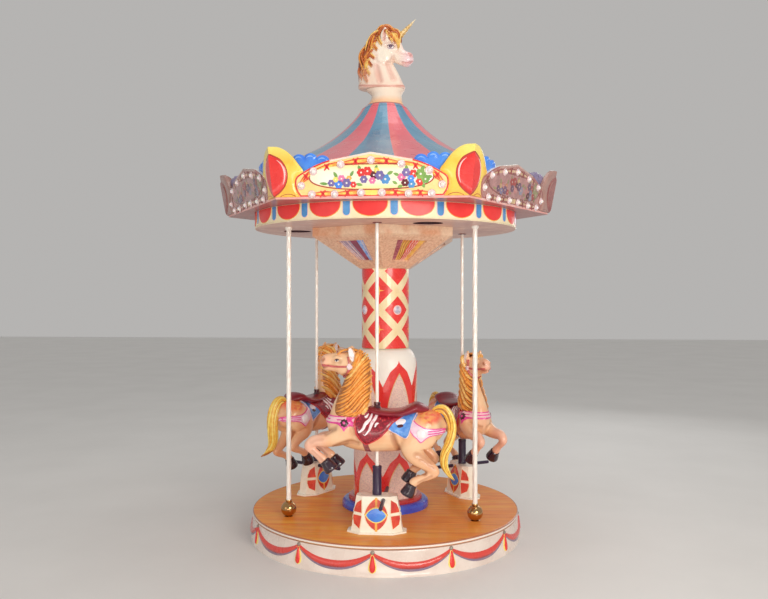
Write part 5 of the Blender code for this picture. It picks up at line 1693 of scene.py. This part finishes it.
TACK_PAINTS = [
    SADDLE_PAINT, finish("trim red", (70, 5, 5), (50, 2, 3)),
    finish("blanket blue", (18, 44, 92), (7, 24, 74), scale=50),
    finish("strap magenta", (92, 10, 42), (76, 4, 27), scale=40),
    finish("ornament white", (95, 86, 84), (92, 62, 66), scale=40),
    finish("dark tack", (10, 1, 2.2), (5, 0.6, 1.2), roughness=0.18, gloss=0.8),
    finish("crupper lilac", (88, 55, 72), (93, 72, 80), scale=50),
    finish("girth brown", (38, 11, 12), (26, 6, 8), scale=50),
    finish("rose shade", (96, 66, 66), (94, 50, 56), scale=30), SEAT_RED,
    finish("bridle coral", (68, 15, 14), (52, 10, 10), scale=40),
    finish("rosette white", (99, 96, 97), (97, 86, 90), scale=30)]

# %% Horses on their poles
LIFTS, DRAWN_LIFT = (0.0325, -0.0325, 0.0), 0.0325
horse_parts = [
    ("body", body_mesh, [HORSE_COAT]), ("mane", mane.mesh("mane", 60), [GOLD_HAIR, PALE_HAIR, SHADE_HAIR]),
    ("tail", tail.mesh("tail", 60), [YELLOW_HAIR, BRIGHT_HAIR, SHADE_HAIR]), ("hooves", hooves.mesh("hooves"), [HOOF]),
    ("eyes", eyes.mesh("eyes"), [DARK_EYE, WHITE]), ("saddle", seat_mesh, [SEAT_RED]),
    ("tack", tack.mesh("tack"), TACK_PAINTS)]
blown_mesh = blown_tail.mesh("blown_tail", 60)
for k, rider_body in enumerate(HORSE_BODIES):
    place = Matrix.Translation(ring(HORSE_RING, 120 * k, LIFTS[k] - DRAWN_LIFT)) @ spun(180 + 120 * k)
    for name, mesh, paints in horse_parts:
        if k == 2 and name == "tail":
            mesh = blown_mesh
        made = piece(f"horse_{k + 1}_{name}", mesh, paints, rider_body, place)
        if name == "body":
            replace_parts(made, f"horse_{k + 1}")
print("horses done", {name: len(mesh.polygons) for name, mesh, _ in horse_parts})

# %% [markdown]
# The unicorn bust stands on the roof and looks to the right. Its chest is a stack of level ovals, and
# it is grown and carved like the horses, with its creases darkened as painted shade. Its mane is a
# core tube with curled locks laid round it in staggered rows, red-brown and gold, and the forelock
# ends over the forehead; the core is dark brown, painted shade between the locks. The horn is a cone
# with one spiral groove.

# %% Unicorn bust
BUST = mm([
    (-126, 112, 75, 2538.8), (-148, 114.5, 76.5, 2542.5), (-157, 115, 77, 2548), (-158, 113.5, 76.5, 2556),
    (-156, 103, 74, 2575), (-154, 91.5, 72, 2600), (-152, 80, 69, 2626), (-147, 64, 64, 2655), (-138, 49, 58, 2685),
    (-125, 40, 55, 2715), (-104, 40, 52, 2750), (-80, 44, 48, 2790), (-56, 44, 40, 2820)])
BUST_HEAD = mm([(-28, 0, 2826, 44, 60), (4, 0, 2796, 51, 82), (40, 0, 2768, 45, 70), (80, 0, 2734, 36, 47),
                (114, 0, 2716, 34, 44), (140, 0, 2709, 30, 42), (150, 0, 2706, 21, 31)])
BUST_CHEEK = mm([(-32, 34, 2745, 16, 40), (0, 38, 2727, 18, 50), (30, 32, 2724, 14, 36)])
BUST_NOSE = mm([(118, 16, 2738, 17, 17), (146, 17, 2728, 15, 17)])
BUST_BROW = mm([(12, 40, 2803, 12, 10), (34, 42, 2807, 12, 11), (58, 36, 2794, 10, 9)])
BUST_EAR = mm([(-2, 44, 2800, 13, 19), (-1, 56, 2828, 13, 24), (1, 60, 2852, 11, 20), (4, 58, 2882, 4, 5)])
HAIR = mm([
    (78, 0, 2786, 10), (82, 0, 2826, 17), (60, 0, 2862, 26), (18, 0, 2880, 32), (-36, 0, 2866, 34), (-70, 0, 2822, 30),
    (-106, 0, 2768, 36), (-124, 0, 2703, 37), (-128, 0, 2640, 36), (-128, 0, 2588, 33), (-134, 0, 2556, 24)])
tubes = Shape().add(stack(BUST))
for stations in (BUST_HEAD, BUST_CHEEK, BUST_NOSE, BUST_BROW, BUST_EAR):
    tubes.add(limb(stations))
for stations in (BUST_CHEEK, BUST_NOSE, BUST_BROW, BUST_EAR):
    tubes.add(limb(other_side(stations)))
bust_mesh = grown("unicorn", tubes, 0.0036, 5)
BUST_CREASES = [
    ([(140, 2738), (148, 2728)], 10, 6.5, 1.0, 0), ([(102, 2688), (128, 2684), (160, 2696)], 6, 4, 0.8, 0),
    ([(-52, 2724), (-47, 2690), (-10, 2672), (30, 2684), (46, 2716)], 14, 4.5, 0.3, 0),
    ([(16, 2783), (36, 2789), (56, 2781)], 16, 4.5, 0.45, 0),
    ([(-46, 2664), (-36, 2620), (-24, 2575)], 17, 5.5, 0.7, 0), ([(16, 2678), (30, 2636), (50, 2590)], 15, 5, 0.6, 0),
    ([(62, 2756), (94, 2734), (118, 2730)], 10, 3, 0.3, 0), ([(-2, 2812), (0, 2834), (3, 2862)], 9, 7, 1.0, 0),
    ([(-165, 2565), (-100, 2550), (-20, 2544), (60, 2545), (125, 2558)], 5.5, 2.5, 1.0, 0)]
carve(bust_mesh, BUST_CREASES)
bust_skin = tree_of(bust_mesh)
graph = Graph("airbrushed bust")
bx, _, bz = graph.xyz()
colour = graph.mottle(12, (98, 88, 74), (97, 79, 64), 0.38, 0.66)
colour = graph.tint(colour, (93, 66, 74), bx, 0.075, 0.13, 0.75)
colour = graph.tint(colour, (95, 62, 46), bz, 2.64, 2.56, 0.45)
# The carved creases are darkened as painted shade; along the foot of the bust the carved line also stands for the red
# line painted there
shade = graph.carved()
colour = graph.mix(graph.calc("MULTIPLY", shade, 0.7), colour, (66, 20, 15))
BUST_COAT = graph.coat(colour, roughness=0.32, gloss=0.5, bump=0.02)
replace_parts(piece("unicorn", bust_mesh, [BUST_COAT]), "unicorn_bust")

hair_core = curved(HAIR, 5)
# The core takes the dark brown paint: painted shade between the locks
hair = Shape().add(tube([c[:3] for c in hair_core], [c[3] * 0.84 for c in hair_core], 18), slot=2)
ANGLES = 13
for i in range(ANGLES):
    around = radians(-118 + 236 * i / (ANGLES - 1))
    for part in range(5):
        first = int((part * 0.19 + 0.045 * (i % 4)) * len(hair_core))
        last = min(len(hair_core) - 1, first + int(0.27 * len(hair_core)))
        if last - first < 6:
            continue
        line = []
        for n in range(first, last + 1, 2):
            x, y, z, r = hair_core[n]
            t = (n - first) / (last - first)
            out = heading(hair_core, n).cross(LEFT).normalized()
            a = around + 0.42 * sin(2 * pi * t + 1.3 * i + part)
            far = r * (0.86 + 0.16 * sin(pi * t) + 0.1 * t * t)
            line.append(Vector((x, 0, z)) + out * far * cos(a) + LEFT * far * 1.05 * sin(a))
        hair.add(strand(line, 0.0098, 8), slot=random.choice((0, 0, 1, 3)))
# A curl has the x and z of its start, its bend and its tip
CURLS = mm([
    (-44, 2850, -66, 2790, -40, 2752), (-60, 2802, -86, 2740, -56, 2704), (-74, 2760, -98, 2700, -68, 2656),
    (-90, 2706, -106, 2652, -80, 2606), (-100, 2650, -112, 2604, -94, 2566), (46, 2858, 70, 2826, 80, 2762),
    (20, 2866, 40, 2828, 64, 2795), (30, 2866, 52, 2840, 74, 2786), (22, 2860, 26, 2834, 48, 2802),
    (12, 2866, 22, 2846, 34, 2812), (-26, 2856, -34, 2820, -14, 2782)])
for side in (1, -1):
    at = on_flank(bust_skin, side)
    for x1, z1, x2, z2, x3, z3 in CURLS:
        for shift in (-0.007, 0.0, 0.007):
            spots = curved([(x1 + shift, z1), ((x1 + x2) / 2 - 0.006 + shift, (z1 + z2) / 2 + 0.004), (x2 + shift, z2),
                            (x3 + shift * 0.4, z3 + shift)], 3)
            hair.add(strand([at(u, v, 0.0045) for u, v in spots], 0.0075, 8), slot=random.choice((0, 1, 3)))


def bust_hair(name, light, dark):
    """A hair paint that fades into the peach of the neck at the mane's lower end."""
    graph = Graph(name)
    height = graph.height()
    colour = graph.mottle(60, light, dark, 0.32, 0.68, 4.0)
    colour = graph.tint(colour, (88, 52, 36), height, 2.66, 2.575, 0.75)
    return graph.coat(colour, roughness=0.32, gloss=0.4)


hair.piece("unicorn_mane", [bust_hair("red brown hair", (66, 20, 5), (48, 10, 2.5)),
                            bust_hair("yellow streak", (97, 72, 22), (90, 52, 12)),
                            bust_hair("shade dark brown hair", (42, 11, 3), (28, 6, 2)),
                            bust_hair("orange hair", (88, 42, 9), (74, 26, 4))], "rotor", 60)

features = Shape()
for side in (1, -1):
    at = on_flank(bust_skin, side)
    features.add(slab(ellipse(0.034, 2.7755, 0.016, 0.0085, 24, tilt=-6), at, lift=0.0014, puff=0.003, roll=0.009,
                      step=0.007), slot=0)
    features.add(slab(ellipse(0.0335, 2.7765, 0.0095, 0.0088, 18), at, lift=0.0044, puff=0.003, roll=0.008, step=0.005),
                 slot=1)
    lash = ellipse(0.034, 2.775, 0.019, 0.012, 14, start=5, end=178, tilt=-6)
    features.add(slab(swelling(lash, 0.0015, 0.0032), at, lift=0.005, step=0.007), slot=1)
    under = ellipse(0.034, 2.774, 0.018, 0.0105, 10, start=200, end=340)
    features.add(slab(ribbon(under, 0.0018), at, lift=0.003, step=0.007), slot=2)
features.piece(
    "unicorn_eyes", [WHITE, finish("iris mauve", (20, 10, 17), (12, 6, 11), roughness=0.15, gloss=0.8), VIOLET])

HORN_FOOT, HORN_TIP = Vector((0.084, 0, 2.848)), Vector((0.175, 0, 2.943))
horn_long = (HORN_TIP - HORN_FOOT).length
points = []
HORN_ROWS, HORN_SIDES = 60, 18
for t in shares(HORN_ROWS):
    for n in range(HORN_SIDES):
        a = 2 * pi * n / HORN_SIDES
        r = (0.018 * (1 - t) ** 0.85 + 0.0014) * (0.92 + 0.12 * sin(a - 2 * pi * 6.5 * t))
        points.append((r * cos(a), r * sin(a), horn_long * t * 0.995))
graph = Graph("horn gold")
z = graph.height()
colour = graph.mottle(40, (84, 60, 26), (66, 38, 11))
colour = graph.tint(colour, (90, 80, 58), z, 2.9, 2.94)
horn = Shape().add(closed(points, HORN_SIDES), pointing(HORN_FOOT, HORN_TIP))
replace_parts(horn.piece("horn", graph.coat(colour, roughness=0.25, gloss=0.6, metallic=0.25)), "unicorn_horn")
print("bust done", len(bust_mesh.vertices), len(hair.faces))
